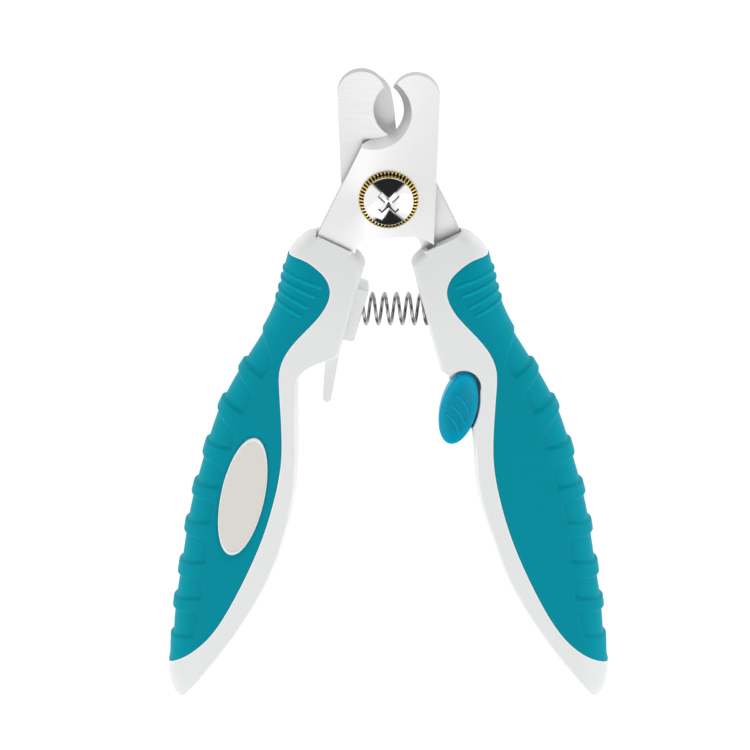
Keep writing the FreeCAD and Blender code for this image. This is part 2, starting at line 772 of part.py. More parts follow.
nodes = hardware + [
    front_blade, rear_blade,
    left_front, left_rear, left_grip, badge, seat, lock_catch(),
    right_front, right_rear, right_grip,
    return_spring(), lock_lever(), lock_thumb_pad(), detent_spring(),
    disc("lock_pin", LOCK, "Sizes.lock_pin_radius", "Sizes.lock_pin_low", "Sizes.lock_pin_length"),
    rivet_pair("left_tang_rivets", LEFT, "Sizes.rivet_radius - Sizes.rivet_fit"),
    rivet_pair("right_tang_rivets", RIGHT, "Sizes.rivet_radius - Sizes.rivet_fit"),
]

# ------------------------------------------------------------------ checks and files
doc.recompute()
for item in doc.Objects:
    if "Invalid" in item.State or "Error" in item.State:
        raise RuntimeError("%s did not recompute" % item.Label)
for node in nodes:
    if node.Shape.isNull() or not node.Shape.isValid() or not node.Shape.Solids:
        raise RuntimeError("%s has no valid solid" % node.Label)

os.makedirs("parts", exist_ok=True)
for node in nodes:
    node.Shape.exportStep("parts/%s.step" % node.Label)
    print("%-20s %9.1f mm3  solids %d" % (node.Label, node.Shape.Volume, len(node.Shape.Solids)))
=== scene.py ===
"""Looks of the pet nail trimmer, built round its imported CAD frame.

Lengths in the classes are millimetres, and (u, v) places are measured from the pivot axis: u away
from the trimmer's middle, on the side that a handle lies, and v towards the blade tips. Meshes are
made in metres in the frame's own axes.
"""

import json
import logging
import math
from dataclasses import dataclass, field
from enum import Enum

import bmesh
import bpy
import numpy as np
from mathutils import Matrix, Vector


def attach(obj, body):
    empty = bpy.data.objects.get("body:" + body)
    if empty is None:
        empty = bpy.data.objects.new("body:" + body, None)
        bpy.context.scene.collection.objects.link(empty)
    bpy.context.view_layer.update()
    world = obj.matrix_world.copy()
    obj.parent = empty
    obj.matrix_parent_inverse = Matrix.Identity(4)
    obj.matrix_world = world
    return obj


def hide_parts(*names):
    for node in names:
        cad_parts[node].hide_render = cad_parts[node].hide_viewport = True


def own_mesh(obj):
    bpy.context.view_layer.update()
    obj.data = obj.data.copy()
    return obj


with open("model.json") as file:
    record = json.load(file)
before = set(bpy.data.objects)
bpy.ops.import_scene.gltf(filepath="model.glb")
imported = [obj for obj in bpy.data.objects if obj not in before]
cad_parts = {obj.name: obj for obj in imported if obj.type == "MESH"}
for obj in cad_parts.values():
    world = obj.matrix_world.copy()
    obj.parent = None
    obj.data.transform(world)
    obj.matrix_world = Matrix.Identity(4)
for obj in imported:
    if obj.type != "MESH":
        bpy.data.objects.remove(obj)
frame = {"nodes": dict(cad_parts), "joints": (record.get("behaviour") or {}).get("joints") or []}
LOG = logging.getLogger("trimmer")
MM = 0.001
RIM = "rim"
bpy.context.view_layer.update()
GRAIN_LOW, GRAIN_HIGH = 0.3, 0.7
# Ramp on the size of the normal's z over which upright faces take a painted shade.
UPRIGHT_SHADE_FROM, UPRIGHT_SHADE_FULL = 0.35, 0.10
CRISP_ANGLE = 40.0


class Side(Enum):
    """Which handle, as the sign of its X."""

    LEFT = -1
    RIGHT = 1


class Face(Enum):
    """Front or back of the trimmer, as the sign of its height above the middle plane."""

    FRONT = 1
    BACK = -1


class EdgeSource(Enum):
    """What brings in a finish's painted shading and trim colour."""

    # The rim attribute carries each piece's share of painted highlight, painted shade or the
    # badge's rim colour.
    RIM = "the mesh's rim attribute"
    # Painted shade: faces that stand upright take the darker colour.
    SIDES = "faces that stand upright"


def pivot_place() -> Vector:
    """Where the main pivot's axis crosses the middle plane, in metres.

    Returns:
        The joint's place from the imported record.
    """
    joints = {joint["name"]: joint for joint in frame["joints"]}
    return Vector(joints["main_pivot"]["pos_m"])


PIVOT = pivot_place()


# ------------------------------------------------------------------ finishes
@dataclass(frozen=True)
class Finish:
    """A principled surface with a fine procedural grain.

    Fields give the colour, gloss and metal, and the grain's size (1/m), depth (m) and contrast.
    A second colour takes over where the mesh's rim attribute rises from 0 to 1, or on the faces
    that stand upright: a painted highlight on the shells, grip and thumb pad, painted shade on the
    blades' upright faces, in the screw's cross recess and between the brass teeth, and the badge's
    own light rim colour.
    """

    name: str
    colour: tuple[float, float, float]
    roughness: float
    painted_shading_and_trim_colour: tuple[float, float, float] | None = None
    edge_source: EdgeSource = EdgeSource.RIM
    metallic: float = 0.0
    coat: float = 0.0
    coat_roughness: float = 0.08
    specular: float = 0.5
    anisotropic: float = 0.0
    grain_scale: float = 2500.0
    grain_depth: float = 0.00002
    grain_stretch: tuple[float, float, float] = (1.0, 1.0, 1.0)
    grain_turn: float = 0.0
    shade_contrast: float = 0.06
    rough_contrast: float = 0.08

    def material(self) -> bpy.types.Material:
        """Build the node material once and return it.

        Returns:
            The material, shared by every piece with this finish.
        """
        found = bpy.data.materials.get(self.name)
        if found is not None:
            return found
        made = bpy.data.materials.new(self.name)
        made.use_nodes = True
        tree = made.node_tree
        shader = tree.nodes["Principled BSDF"]
        shader.inputs["Metallic"].default_value = self.metallic
        shader.inputs["Coat Weight"].default_value = self.coat
        shader.inputs["Coat Roughness"].default_value = self.coat_roughness
        shader.inputs["Specular IOR Level"].default_value = self.specular
        shader.inputs["Anisotropic"].default_value = self.anisotropic
        grain = self.grain(tree)
        tree.links.new(self.shade(tree, grain), shader.inputs["Base Color"])
        tree.links.new(self.gloss(tree, grain), shader.inputs["Roughness"])
        bump = tree.nodes.new("ShaderNodeBump")
        bump.inputs["Strength"].default_value = 1.0
        bump.inputs["Distance"].default_value = self.grain_depth
        tree.links.new(grain, bump.inputs["Height"])
        tree.links.new(bump.outputs["Normal"], shader.inputs["Normal"])
        return made

    def grain(self, tree: bpy.types.NodeTree) -> bpy.types.NodeSocket:
        """Noise on Object coordinates, stretched along the finish's own direction.

        Args:
            tree: The material's node tree.

        Returns:
            The noise value's socket.
        """
        place = tree.nodes.new("ShaderNodeTexCoord")
        turned = tree.nodes.new("ShaderNodeMapping")
        turned.inputs["Rotation"].default_value = (0.0, 0.0, math.radians(self.grain_turn))
        turned.inputs["Scale"].default_value = self.grain_stretch
        noise = tree.nodes.new("ShaderNodeTexNoise")
        noise.inputs["Scale"].default_value = self.grain_scale
        noise.inputs["Detail"].default_value = 3.0
        tree.links.new(place.outputs["Object"], turned.inputs["Vector"])
        tree.links.new(turned.outputs["Vector"], noise.inputs["Vector"])
        return noise.outputs["Fac"]

    def shade(self, tree: bpy.types.NodeTree, grain: bpy.types.NodeSocket) -> bpy.types.NodeSocket:
        """Base colour, a little lighter and darker with the grain.

        Args:
            tree: The material's node tree.
            grain: The grain's value.

        Returns:
            The colour socket.
        """
        ramp = tree.nodes.new("ShaderNodeValToRGB")
        ends = ((GRAIN_LOW, 1.0 - self.shade_contrast), (GRAIN_HIGH, 1.0 + self.shade_contrast))
        for stop, (position, light) in zip(ramp.color_ramp.elements, ends):
            stop.position = position
            stop.color = (*[min(channel * light, 1.0) for channel in self.colour], 1.0)
        tree.links.new(grain, ramp.inputs["Fac"])
        if self.painted_shading_and_trim_colour is None:
            return ramp.outputs["Color"]
        # Mix in the painted shading and trim colour by its share.
        blend = tree.nodes.new("ShaderNodeMix")
        blend.data_type = "RGBA"
        factor, first, second = (blend.inputs[place] for place in (0, 6, 7))
        second.default_value = (*self.painted_shading_and_trim_colour, 1.0)
        tree.links.new(self.painted_shading_and_trim_share(tree), factor)
        tree.links.new(ramp.outputs["Color"], first)
        return blend.outputs[2]

    def painted_shading_and_trim_share(self, tree: bpy.types.NodeTree) -> bpy.types.NodeSocket:
        """Where the painted shading and trim colour shows, from 0 to 1.

        Args:
            tree: The material's node tree.

        Returns:
            The rim attribute's socket, or that of a ramp on the size of the normal's z.
        """
        if self.edge_source is EdgeSource.RIM:
            rim = tree.nodes.new("ShaderNodeAttribute")
            rim.attribute_name = RIM
            return rim.outputs["Fac"]
        # Painted shade on upright faces: a ramp on the size of the normal's z.
        facing = tree.nodes.new("ShaderNodeNewGeometry")
        split = tree.nodes.new("ShaderNodeSeparateXYZ")
        size = tree.nodes.new("ShaderNodeMath")
        size.operation = "ABSOLUTE"
        ramp = tree.nodes.new("ShaderNodeMapRange")
        ramp.inputs["From Min"].default_value = UPRIGHT_SHADE_FROM
        ramp.inputs["From Max"].default_value = UPRIGHT_SHADE_FULL
        tree.links.new(facing.outputs["True Normal"], split.inputs[0])
        tree.links.new(split.outputs["Z"], size.inputs[0])
        tree.links.new(size.outputs[0], ramp.inputs["Value"])
        return ramp.outputs["Result"]

    def gloss(self, tree: bpy.types.NodeTree, grain: bpy.types.NodeSocket) -> bpy.types.NodeSocket:
        """Roughness, varied with the grain.

        Args:
            tree: The material's node tree.
            grain: The grain's value.

        Returns:
            The roughness socket.
        """
        spread = tree.nodes.new("ShaderNodeMapRange")
        spread.inputs["From Min"].default_value = GRAIN_LOW
        spread.inputs["From Max"].default_value = GRAIN_HIGH
        spread.inputs["To Min"].default_value = max(self.roughness - self.rough_contrast, 0.02)
        spread.inputs["To Max"].default_value = min(self.roughness + self.rough_contrast, 1.0)
        tree.links.new(grain, spread.inputs["Value"])
        return spread.outputs["Result"]


# Shell plastic: its lighter second colour is a painted highlight along the seam and near the inner
# edge.
SHELL_PLASTIC = Finish("satin_shell_plastic", (0.84, 0.85, 0.85), 0.38,
                       painted_shading_and_trim_colour=(0.96, 0.97, 0.97), grain_scale=3800.0, grain_depth=0.000005,
                       shade_contrast=0.012, rough_contrast=0.05)
# Grip rubber: its lighter teal is a painted highlight towards the outer edge and on the rib crests.
GRIP_RUBBER = Finish("teal_soft_grip", (0.0, 0.283, 0.372), 0.55, painted_shading_and_trim_colour=(0.0, 0.375, 0.465),
                     grain_scale=5200.0, grain_depth=0.000010, shade_contrast=0.04,
                     rough_contrast=0.06, specular=0.05)
# Thumb pad plastic: its lighter blue is a painted highlight on the dish's outer part, the ridges
# and the side wall.
PAD_PLASTIC = Finish("blue_gloss_pad", (0.0, 0.285, 0.415), 0.30, painted_shading_and_trim_colour=(0.0, 0.42, 0.66),
                     specular=0.08, grain_scale=2600.0, grain_depth=0.000003, shade_contrast=0.03,
                     rough_contrast=0.04)
BADGE_PLATE = Finish("warm_grey_badge", (0.77, 0.74, 0.695), 0.45, painted_shading_and_trim_colour=(0.92, 0.93, 0.92),
                     grain_scale=3000.0, grain_depth=0.000003, shade_contrast=0.015)
# Blade steels: their darker second colour is painted shade on the upright sides and bevels.
FRONT_STEEL = Finish("polished_blade_steel", (0.86, 0.86, 0.86), 0.42, metallic=1.0,
                     painted_shading_and_trim_colour=(0.53, 0.53, 0.54), edge_source=EdgeSource.SIDES,
                     anisotropic=0.3, grain_scale=1100.0, grain_stretch=(0.05, 1.6, 1.0),
                     grain_depth=0.0000015, shade_contrast=0.010, rough_contrast=0.04)
REAR_STEEL = Finish("brushed_blade_steel", (0.80, 0.80, 0.80), 0.42, metallic=1.0,
                    painted_shading_and_trim_colour=(0.47, 0.47, 0.48), edge_source=EdgeSource.SIDES,
                    anisotropic=0.3, grain_scale=900.0, grain_stretch=(0.10, 1.8, 1.0),
                    grain_depth=0.000003, shade_contrast=0.045, rough_contrast=0.08)
GUARD_STEEL = Finish("satin_guard_steel", (0.62, 0.62, 0.63), 0.36, metallic=1.0,
                     grain_scale=1500.0, grain_stretch=(1.6, 0.1, 1.0), grain_depth=0.000003,
                     shade_contrast=0.04)
# Chrome: its dark second colour is painted shade on the walls of the screw's cross recess.
CHROME = Finish("bright_chrome", (0.84, 0.84, 0.85), 0.08, painted_shading_and_trim_colour=(0.10, 0.10, 0.11),
                metallic=1.0, grain_scale=1800.0, grain_depth=0.000001, shade_contrast=0.03,
                rough_contrast=0.03)
# Brass: its near-black second colour is painted shade between the teeth.
BRASS = Finish("knurled_brass", (0.86, 0.66, 0.24), 0.22, metallic=1.0, grain_scale=2400.0,
               painted_shading_and_trim_colour=(0.022, 0.016, 0.006), grain_depth=0.000006, shade_contrast=0.14,
               rough_contrast=0.06)
DARK_STEEL = Finish("blued_leaf_steel", (0.16, 0.15, 0.15), 0.30, metallic=1.0, grain_scale=2600.0,
                    grain_depth=0.000003, shade_contrast=0.10)
SPRING_STEEL = Finish("drawn_spring_wire", (0.34, 0.34, 0.35), 0.12, metallic=1.0,
                      grain_scale=2600.0, grain_depth=0.000004, shade_contrast=0.10,
                      rough_contrast=0.05)


# ------------------------------------------------------------------ curves and grids
def smooth_run(points: list[tuple[float, float]], per_span: int = 12) -> np.ndarray:
    """Smooth curve through points: a cubic spline in each coordinate over the chord length.

    Args:
        points: Places (u, v) the curve goes through.
        per_span: Samples between one point and the next.

    Returns:
        Array of places, one row each, from the first point to the last.
    """
    knots = np.array(points, float)
    chord = np.concatenate([[0.0], np.cumsum(np.linalg.norm(np.diff(knots, axis=0), axis=1))])
    gaps = np.diff(chord)
    count = len(knots)
    system = np.eye(count)
    right = np.zeros((count, 2))
    for row in range(1, count - 1):
        system[row, row - 1: row + 2] = (gaps[row - 1], 2 * (gaps[row - 1] + gaps[row]), gaps[row])
        slope_after = (knots[row + 1] - knots[row]) / gaps[row]
        slope_before = (knots[row] - knots[row - 1]) / gaps[row - 1]
        right[row] = 6 * (slope_after - slope_before)
    bend = np.linalg.solve(system, right)
    along = np.unique(np.concatenate([np.linspace(chord[i], chord[i + 1], per_span + 1)
                                      for i in range(count - 1)]))
    span = np.clip(np.searchsorted(chord, along, side="right") - 1, 0, count - 2)
    after = (along - chord[span])[:, None]
    before = (chord[span + 1] - along)[:, None]
    gap = gaps[span][:, None]
    return (bend[span] * before ** 3 / (6 * gap) + bend[span + 1] * after ** 3 / (6 * gap)
            + (knots[span] / gap - bend[span] * gap / 6) * before
            + (knots[span + 1] / gap - bend[span + 1] * gap / 6) * after)


def turn_through(start: tuple[float, float], middle: tuple[float, float],
                 end: tuple[float, float], steps: int = 16) -> np.ndarray:
    """Circular arc from start to end that passes through middle.

    Args:
        start: First place.
        middle: A place on the arc.
        end: Last place.
        steps: Number of spans.

    Returns:
        Array of places along the arc.
    """
    a, b, c = (np.array(place, float) for place in (start, middle, end))
    system = 2 * np.array([b - a, c - a])
    centre = np.linalg.solve(system, np.array([b @ b - a @ a, c @ c - a @ a]))
    angles = [math.atan2(*(place - centre)[::-1]) for place in (a, b, c)]
    sweep = (angles[2] - angles[0]) % (2 * math.pi)
    if (angles[1] - angles[0]) % (2 * math.pi) > sweep:
        sweep -= 2 * math.pi
    turn = angles[0] + sweep * np.linspace(0, 1, steps + 1)
    radius = np.linalg.norm(a - centre)
    return centre + radius * np.stack([np.cos(turn), np.sin(turn)], axis=1)


def at_height(curve: np.ndarray, v: np.ndarray) -> np.ndarray:
    """Places on a curve whose v only falls, at the given values of v.

    Args:
        curve: Places (u, v) along the curve.
        v: Wanted values.

    Returns:
        Array of places, one row for each value.
    """
    return np.stack([np.interp(-v, -curve[:, 1], curve[:, 0]), v], axis=1)


def distance_to(curve: np.ndarray, places: np.ndarray) -> np.ndarray:
    """Shortest distance from each place to a curve, span by span.

    Args:
        curve: Places (u, v) along the curve.
        places: Array whose last axis is (u, v).

    Returns:
        Distances, in the shape of places without its last axis.
    """
    flat = places.reshape(-1, 2)
    start = curve[:-1]
    step = curve[1:] - start
    length = np.maximum((step ** 2).sum(1), 1e-12)
    nearest = np.empty(len(flat))
    for low in range(0, len(flat), 4096):
        part = flat[low: low + 4096, None, :] - start
        share = np.clip((part * step).sum(2) / length, 0, 1)
        gap = part - share[..., None] * step
        nearest[low: low + 4096] = np.sqrt((gap ** 2).sum(2).min(1))
    return nearest.reshape(places.shape[:-1])


def ease(x: np.ndarray) -> np.ndarray:
    """Smooth step from 0 to 1 as x goes from 0 to 1."""
    held = np.clip(x, 0, 1)
    return held * held * (3 - 2 * held)


def edge_profile(depth: np.ndarray, radius: float, power: float) -> np.ndarray:
    """Rounded edge: 0 on the edge, 1 at radius and beyond, (1 - (1 - d/r)^p)^(1/p) between.

    Args:
        depth: Distance in from the edge.
        radius: Where the edge's rounding ends.
        power: 2 is a round edge, and more is a squarer one.

    Returns:
        Share of the full height.
    """
    inside = np.clip(depth / radius, 0, 1)
    return (1 - (1 - inside) ** power) ** (1 / power)


def around(count: int) -> np.ndarray:
    """Even angles once round a circle.

    Args:
        count: How many.

    Returns:
        The angles in radians, from 0 up to one step before a full turn.
    """
    return np.linspace(0, 2 * np.pi, count + 1)[:-1]


def grid_normals(places: np.ndarray) -> np.ndarray:
    """Unit normals of a grid, from the slopes along its rows and columns.

    Args:
        places: Grid of places, rows by columns by 3.

    Returns:
        Grid of normals, on the side where rows cross columns.
    """
    down = np.gradient(places, axis=0)
    across = np.gradient(places, axis=1)
    normal = np.cross(down, across)
    length = np.linalg.norm(normal, axis=2, keepdims=True)
    return normal / np.maximum(length, 1e-12)


@dataclass
class Patch:
    """Mesh under construction: grids of places in millimetres from the pivot, stitched as quads."""

    places: list[np.ndarray] = field(default_factory=list)
    faces: list[np.ndarray] = field(default_factory=list)
    rims: list[np.ndarray] = field(default_factory=list)
    count: int = 0

    def grid(self, places: np.ndarray, flip: bool = False, loop: bool = False,
             rim: np.ndarray | None = None) -> "Patch":
        """Add a grid, its columns joined end to end where loop is set.

        Args:
            places: Rows by columns by 3.
            flip: Turn the faces over.
            loop: Join the last column to the first.
            rim: Share of the finish's painted shading and trim colour at each place, or None for
                none.

        Returns:
            The patch itself.
        """
        rows, columns = places.shape[:2]
        index = np.arange(rows * columns).reshape(rows, columns) + self.count
        right = np.roll(index, -1, axis=1)
        if not loop:
            index, right = index[:, :-1], right[:, :-1]
        quads = np.stack([index[:-1], right[:-1], right[1:], index[1:]], axis=-1).reshape(-1, 4)
        self.places.append(places.reshape(-1, 3))
        self.faces.append(quads[:, ::-1] if flip else quads)
        self.rims.append(np.zeros(rows * columns) if rim is None else rim.ravel())
        self.count += rows * columns
        return self

    def piece(self, name: str, finish: Finish, sharp: float = CRISP_ANGLE) -> bpy.types.Object:
        """Make the object with its mesh placed from the pivot, merge doubled corners and shade it.

        Args:
            name: The piece's name.
            finish: Its finish.
            sharp: Edges that turn by more than this many degrees stay crisp.

        Returns:
            The linked object.
        """
        places = np.concatenate(self.places) * MM + np.array(PIVOT)
        mesh = bpy.data.meshes.new(name)
        mesh.from_pydata(places, [], np.concatenate(self.faces).tolist())
        attribute = mesh.attributes.new(RIM, "FLOAT", "POINT")
        attribute.data.foreach_set("value", np.concatenate(self.rims).astype(np.float32))
        weld(mesh)
        mesh.materials.append(finish.material())
        mesh.polygons.foreach_set("use_smooth", np.ones(len(mesh.polygons), bool))
        mesh.set_sharp_from_angle(angle=math.radians(sharp))
        made = bpy.data.objects.new(name, mesh)
        bpy.context.scene.collection.objects.link(made)
        LOG.info("%s: %d faces", name, len(mesh.polygons))
        return made


def weld(mesh: bpy.types.Mesh, gap: float = 0.000002) -> None:
    """Merge the mesh's doubled corners, drop faces that have no area and turn normals outwards.

    Args:
        mesh: The mesh.
        gap: Corners nearer than this become one.
    """
    work = bmesh.new()
    work.from_mesh(mesh)
    bmesh.ops.remove_doubles(work, verts=work.verts, dist=gap)
    bmesh.ops.dissolve_degenerate(work, edges=work.edges, dist=gap / 4)
    bmesh.ops.recalc_face_normals(work, faces=work.faces)
    work.to_mesh(mesh)
    work.free()
    mesh.update()


def carve(piece: bpy.types.Object, cutter: bpy.types.Object) -> None:
    """Take the cutter's shape out of a closed piece, and remove the cutter.

    Args:
        piece: The piece that is cut.
        cutter: A closed shape.
    """
    step = piece.modifiers.new("carve", "BOOLEAN")
    step.object = cutter
    step.operation = "DIFFERENCE"
    step.solver = "EXACT"
    whole = bpy.context.evaluated_depsgraph_get()
    cut = bpy.data.meshes.new_from_object(piece.evaluated_get(whole))
    piece.modifiers.clear()
    piece.data = cut
    cut.set_sharp_from_angle(angle=math.radians(CRISP_ANGLE))
    bpy.data.objects.remove(cutter)


def dress(piece: bpy.types.Object, body: str, slot: str, *nodes: str) -> bpy.types.Object:
    """Tell the frame which body a piece rides and which nodes it replaces.

    Args:
        piece: The piece.
        body: The body it moves with.
        slot: The record's material slot; not used.
        nodes: CAD nodes that it stands for.

    Returns:
        The piece.
    """
    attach(piece, body)
    if nodes:
        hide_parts(*nodes)
    return piece


# ------------------------------------------------------------------ shared places
@dataclass(frozen=True)
class Oval:
    """An ellipse whose long axis leans from +v towards +X by tilt degrees; centre as (x, v)."""

    centre: tuple[float, float]
    long_radius: float
    short_radius: float
    tilt: float

    def axes(self) -> tuple[np.ndarray, np.ndarray]:
        """Unit directions of the long and the short axis."""
        lean = math.radians(self.tilt)
        return (np.array([math.sin(lean), math.cos(lean)]),
                np.array([math.cos(lean), -math.sin(lean)]))

    def share(self, places: np.ndarray) -> np.ndarray:
        """0 at the centre, 1 on the ellipse: the length of the offset over the two radii."""
        long_way, short_way = self.axes()
        offset = places - np.array(self.centre)
        return np.hypot(offset @ long_way / self.long_radius,
                        offset @ short_way / self.short_radius)

    def ring(self, share: np.ndarray, turn: np.ndarray) -> np.ndarray:
        """Places on the ellipse scaled by share, at angles turn round it.

        Args:
            share: Column of shares, one for each ring.
            turn: Row of angles.

        Returns:
            Rings by angles by 2.
        """
        long_way, short_way = self.axes()
        out = share[:, None, None]
        cos, sin = np.cos(turn)[None, :, None], np.sin(turn)[None, :, None]
        return (np.array(self.centre) + out * self.long_radius * cos * long_way
                + out * self.short_radius * sin * short_way)

    def turned(self, pin: tuple[float, float], degrees: float) -> "Oval":
        """The same ellipse swung clockwise about a pin."""
        angle = math.radians(degrees)
        x, v = self.centre[0] - pin[0], self.centre[1] - pin[1]
        swung = (pin[0] + x * math.cos(angle) + v * math.sin(angle),
                 pin[1] - x * math.sin(angle) + v * math.cos(angle))
        return Oval(swung, self.long_radius, self.short_radius, self.tilt + degrees)

    def reach(self, origin: tuple[float, float], turn: np.ndarray) -> np.ndarray:
        """Distance from a place inside the ellipse to it, along rays at angles turn.

        The ray's start and direction are scaled by the two radii, which makes the ellipse a unit
        circle, and the quadratic's positive root is the distance.
        """
        long_way, short_way = self.axes()
        scaled = np.stack([long_way / self.long_radius, short_way / self.short_radius])
        start = scaled @ (np.array(origin) - np.array(self.centre))
        way = scaled @ np.stack([np.cos(turn), np.sin(turn)])
        a, b, c = (way ** 2).sum(0), start @ way, start @ start - 1
        return (-b + np.sqrt(b * b - a * c)) / a


BADGE = Oval((-35.6, -74.6), 15.3, 5.3, 11.7)
LOCK_PIN = (18.3, -46.7)
THUMB_PAD = Oval((17.05, -52.4), 9.2, 4.5, 13.8)


# ------------------------------------------------------------------ handles
@dataclass
class Handle:
    """One handle: two hard shells and the soft grip round its outer edge.

    Rounds are how far in from an edge its rounding reaches, and powers how square it is. Slots and
    recesses are cut into the shells, and the seam is where a shell meets the grip.
    """

    side: Side
    body: str
    half_thick: float = 7.45
    outer_round: float = 9.5
    outer_power: float = 2.5
    inner_round: float = 1.5
    inner_power: float = 2.2
    mouth_run: float = 22.0
    mouth_height: float = 4.3
    mouth_round: float = 2.0
    mouth_blend: float = 14.0
    slot_over_tang: float = 3.75
    slot_elsewhere: float = 1.0
    slot_depth: float = 2.6
    slot_proud: float = 0.8
    slot_run: tuple[float, float] = (0.9, 10.2)
    pocket_run: tuple[float, float] = (1.0, 3.6)
    pocket_height: float = 3.2
    lever_slot: tuple[tuple[float, float, float], tuple[float, float, float]] = (
        (9.0, -57.6, -1.5), (24.0, -42.8, 1.5))
    spring_bore: tuple[tuple[float, float], float, float] = ((4.0, -28.8), 8.9, 4.6)
    parting: float = 0.12
    parting_depth: float = 0.3
    parting_most: float = 0.3
    shell_grid: tuple[int, int] = (540, 46)
    grip_grid: tuple[int, int] = (600, 76)
    grip_spread: float = 1.6
    seam_dip: float = 0.16
    seam_width: float = 0.40
    # Reach of the shells' painted highlight from the seam.
    seam_highlight_reach: float = 0.42
    seam_inset: float = 0.5
    seam_lean: float = 0.1
    # Band of painted highlight in from the inner edge (middle, half width), and its strength.
    inner_highlight_band: tuple[float, float] = (0.85, 0.32)
    inner_highlight_strength: float = 0.8
    pad_depth: float = 0.75
    rib_height: float = 0.42
    rib_radius: float = 0.5
    rib_crown: float = 1.35
    # Painted highlight on the rib crests: the relief where it starts and its rise to full.
    rib_crest_highlight: tuple[float, float] = (0.18, 0.2)
    pad_softness: float = 0.9
    pad_corner: float = 0.5
    # Painted highlight towards the outer edge: its strength and reach.
    outer_edge_highlight: float = 0.5
    outer_edge_highlight_width: float = 7.0
    badge_sink: float = 0.45
    badge_wall: float = 0.14
    wide_enough: float = 1.5
    swing: float = 40.0
    recess_gap: float = 0.45
    recess_bed: float = 2.8
    post_room: float = 4.2
    recess_flare: tuple[tuple[float, float], ...] = (
        (6.9, 0.0), (7.15, 0.06), (7.35, 0.2), (7.5, 0.42), (9.0, 0.42))
    mouth: tuple[tuple[float, float], tuple[float, float]] = ((8.4, -13.4), (17.9, -8.8))
    row_ties: tuple[tuple[float, float], ...] = ((-15.2, -14.1), (-21.0, -21.0))
    seam_top: float = -14.1
    seam_foot: float = -118.9
    fullness: float = 1.1
    full_top: tuple[float, float] = (-26.0, 12.0)
    full_foot: tuple[float, float] = (-117.5, 10.0)
    tip: tuple[float, float] = (51.3, -128.3)
    outer_points: tuple[tuple[float, float], ...] = (
        (24.4, -14.2), (25.8, -20.0), (27.6, -27.0), (31.0, -36.0), (36.6, -45.5), (41.0, -54.5),
        (44.6, -66.0), (47.9, -79.0), (50.1, -93.0), (51.9, -106.0), (53.6, -117.5))
    inner_points: tuple[tuple[float, float], ...] = (
        (48.6, -126.2), (42.0, -118.0), (34.5, -107.2), (28.6, -96.2), (24.8, -85.5))
    seam_points: tuple[tuple[float, float], ...] = (
        (20.7, -14.8), (17.7, -16.8), (15.6, -19.7), (14.8, -22.8), (16.0, -26.5), (20.1, -31.6),
        (24.6, -36.8), (27.0, -42.0), (27.2, -47.0), (26.7, -57.0), (26.8, -66.0), (28.6, -76.0),
        (31.4, -85.4), (34.9, -94.0), (39.6, -103.5), (44.5, -111.0), (49.5, -115.6))
    ribs: tuple[tuple[tuple[float, float], tuple[float, float]], ...] = (
        ((27.0, -17.6), (16.6, -21.5)), ((27.6, -19.7), (18.2, -23.7)),
        ((28.2, -22.3), (19.9, -26.4)), ((29.2, -24.6), (21.5, -28.5)))
    pads: tuple[tuple[tuple[float, float], ...], ...] = (
        ((30.4, -35.3), (28.1, -40.8), (30.7, -44.5), (34.8, -41.7)),
        ((36.3, -44.8), (32.9, -48.7), (35.5, -53.7), (39.8, -51.2)),
        ((41.3, -54.8), (37.2, -59.2), (38.4, -62.8), (44.0, -61.9)),
        ((45.0, -65.9), (40.0, -67.7), (41.3, -72.8), (47.0, -72.4)),
        ((47.5, -75.8), (42.3, -76.2), (43.3, -81.7), (48.7, -82.2)),
        ((49.2, -85.5), (44.0, -85.9), (44.5, -91.8), (50.1, -92.5)),
        ((50.6, -96.3), (45.5, -96.2), (45.5, -101.0), (51.4, -101.9)),
        ((51.7, -105.0), (46.5, -104.9), (47.7, -111.0), (52.5, -111.6)))

    def face_points(self) -> tuple[tuple[float, float], tuple[float, float]]:
        """Top and foot of the flat face towards the other handle."""
        if self.side is Side.LEFT:
            return (5.6, -16.8), (12.0, -39.8)
        return (5.5, -16.6), (12.4, -43.2)

    def shoulder_points(self) -> list[tuple[float, float]]:
        """Inner edge from the long grip up to the shoulder under the flat face."""
        if self.side is Side.LEFT:
            return [(22.7, -76.0), (21.9, -66.0), (21.9, -56.0), (21.9, -48.2), (21.4, -45.0),
                    (19.4, -42.8), (17.0, -41.6), (14.4, -40.7)]
        return [(21.9, -76.0), (20.8, -66.5), (20.4, -60.5), (19.6, -56.6), (17.8, -53.0),
                (16.0, -50.0), (15.0, -47.0), (14.4, -44.6)]

    def outer_edge(self) -> np.ndarray:
        """Outer outline from the collar's mouth to the tip: two arcs, long spline, arc.

        Between its ends the spline stands out by the fullness, which rises and falls by smooth
        steps.
        """
        shoulder = (21.2, -10.5)
        corner = turn_through(self.mouth[1], (19.6, -9.2), shoulder)
        collar = turn_through(shoulder, (23.2, -12.4), self.outer_points[0])
        (top, top_run), (foot, foot_run) = self.full_top, self.full_foot
        points = np.array(self.outer_points)
        points[:, 0] += (self.fullness * ease((top - points[:, 1]) / top_run)
                         * ease((points[:, 1] - foot) / foot_run))
        long_edge = smooth_run(list(points))
        end = turn_through(self.outer_points[-1], (53.6, -124.0), self.tip)
        return np.concatenate([corner, collar[1:], long_edge[1:], end[1:]])

    def inner_edge(self) -> np.ndarray:
        """Inner outline from the collar's mouth to the tip: corner, face, shoulder, long spline."""
        face_top, face_foot = self.face_points()
        corner = turn_through(self.mouth[0], (6.7, -14.8), face_top)
        inner = smooth_run(list(self.inner_points) + self.shoulder_points())
        end = turn_through(self.tip, (50.0, -127.8), self.inner_points[0])
        upward = np.concatenate([end, inner[1:], [face_foot]])
        return np.concatenate([corner, upward[::-1]])

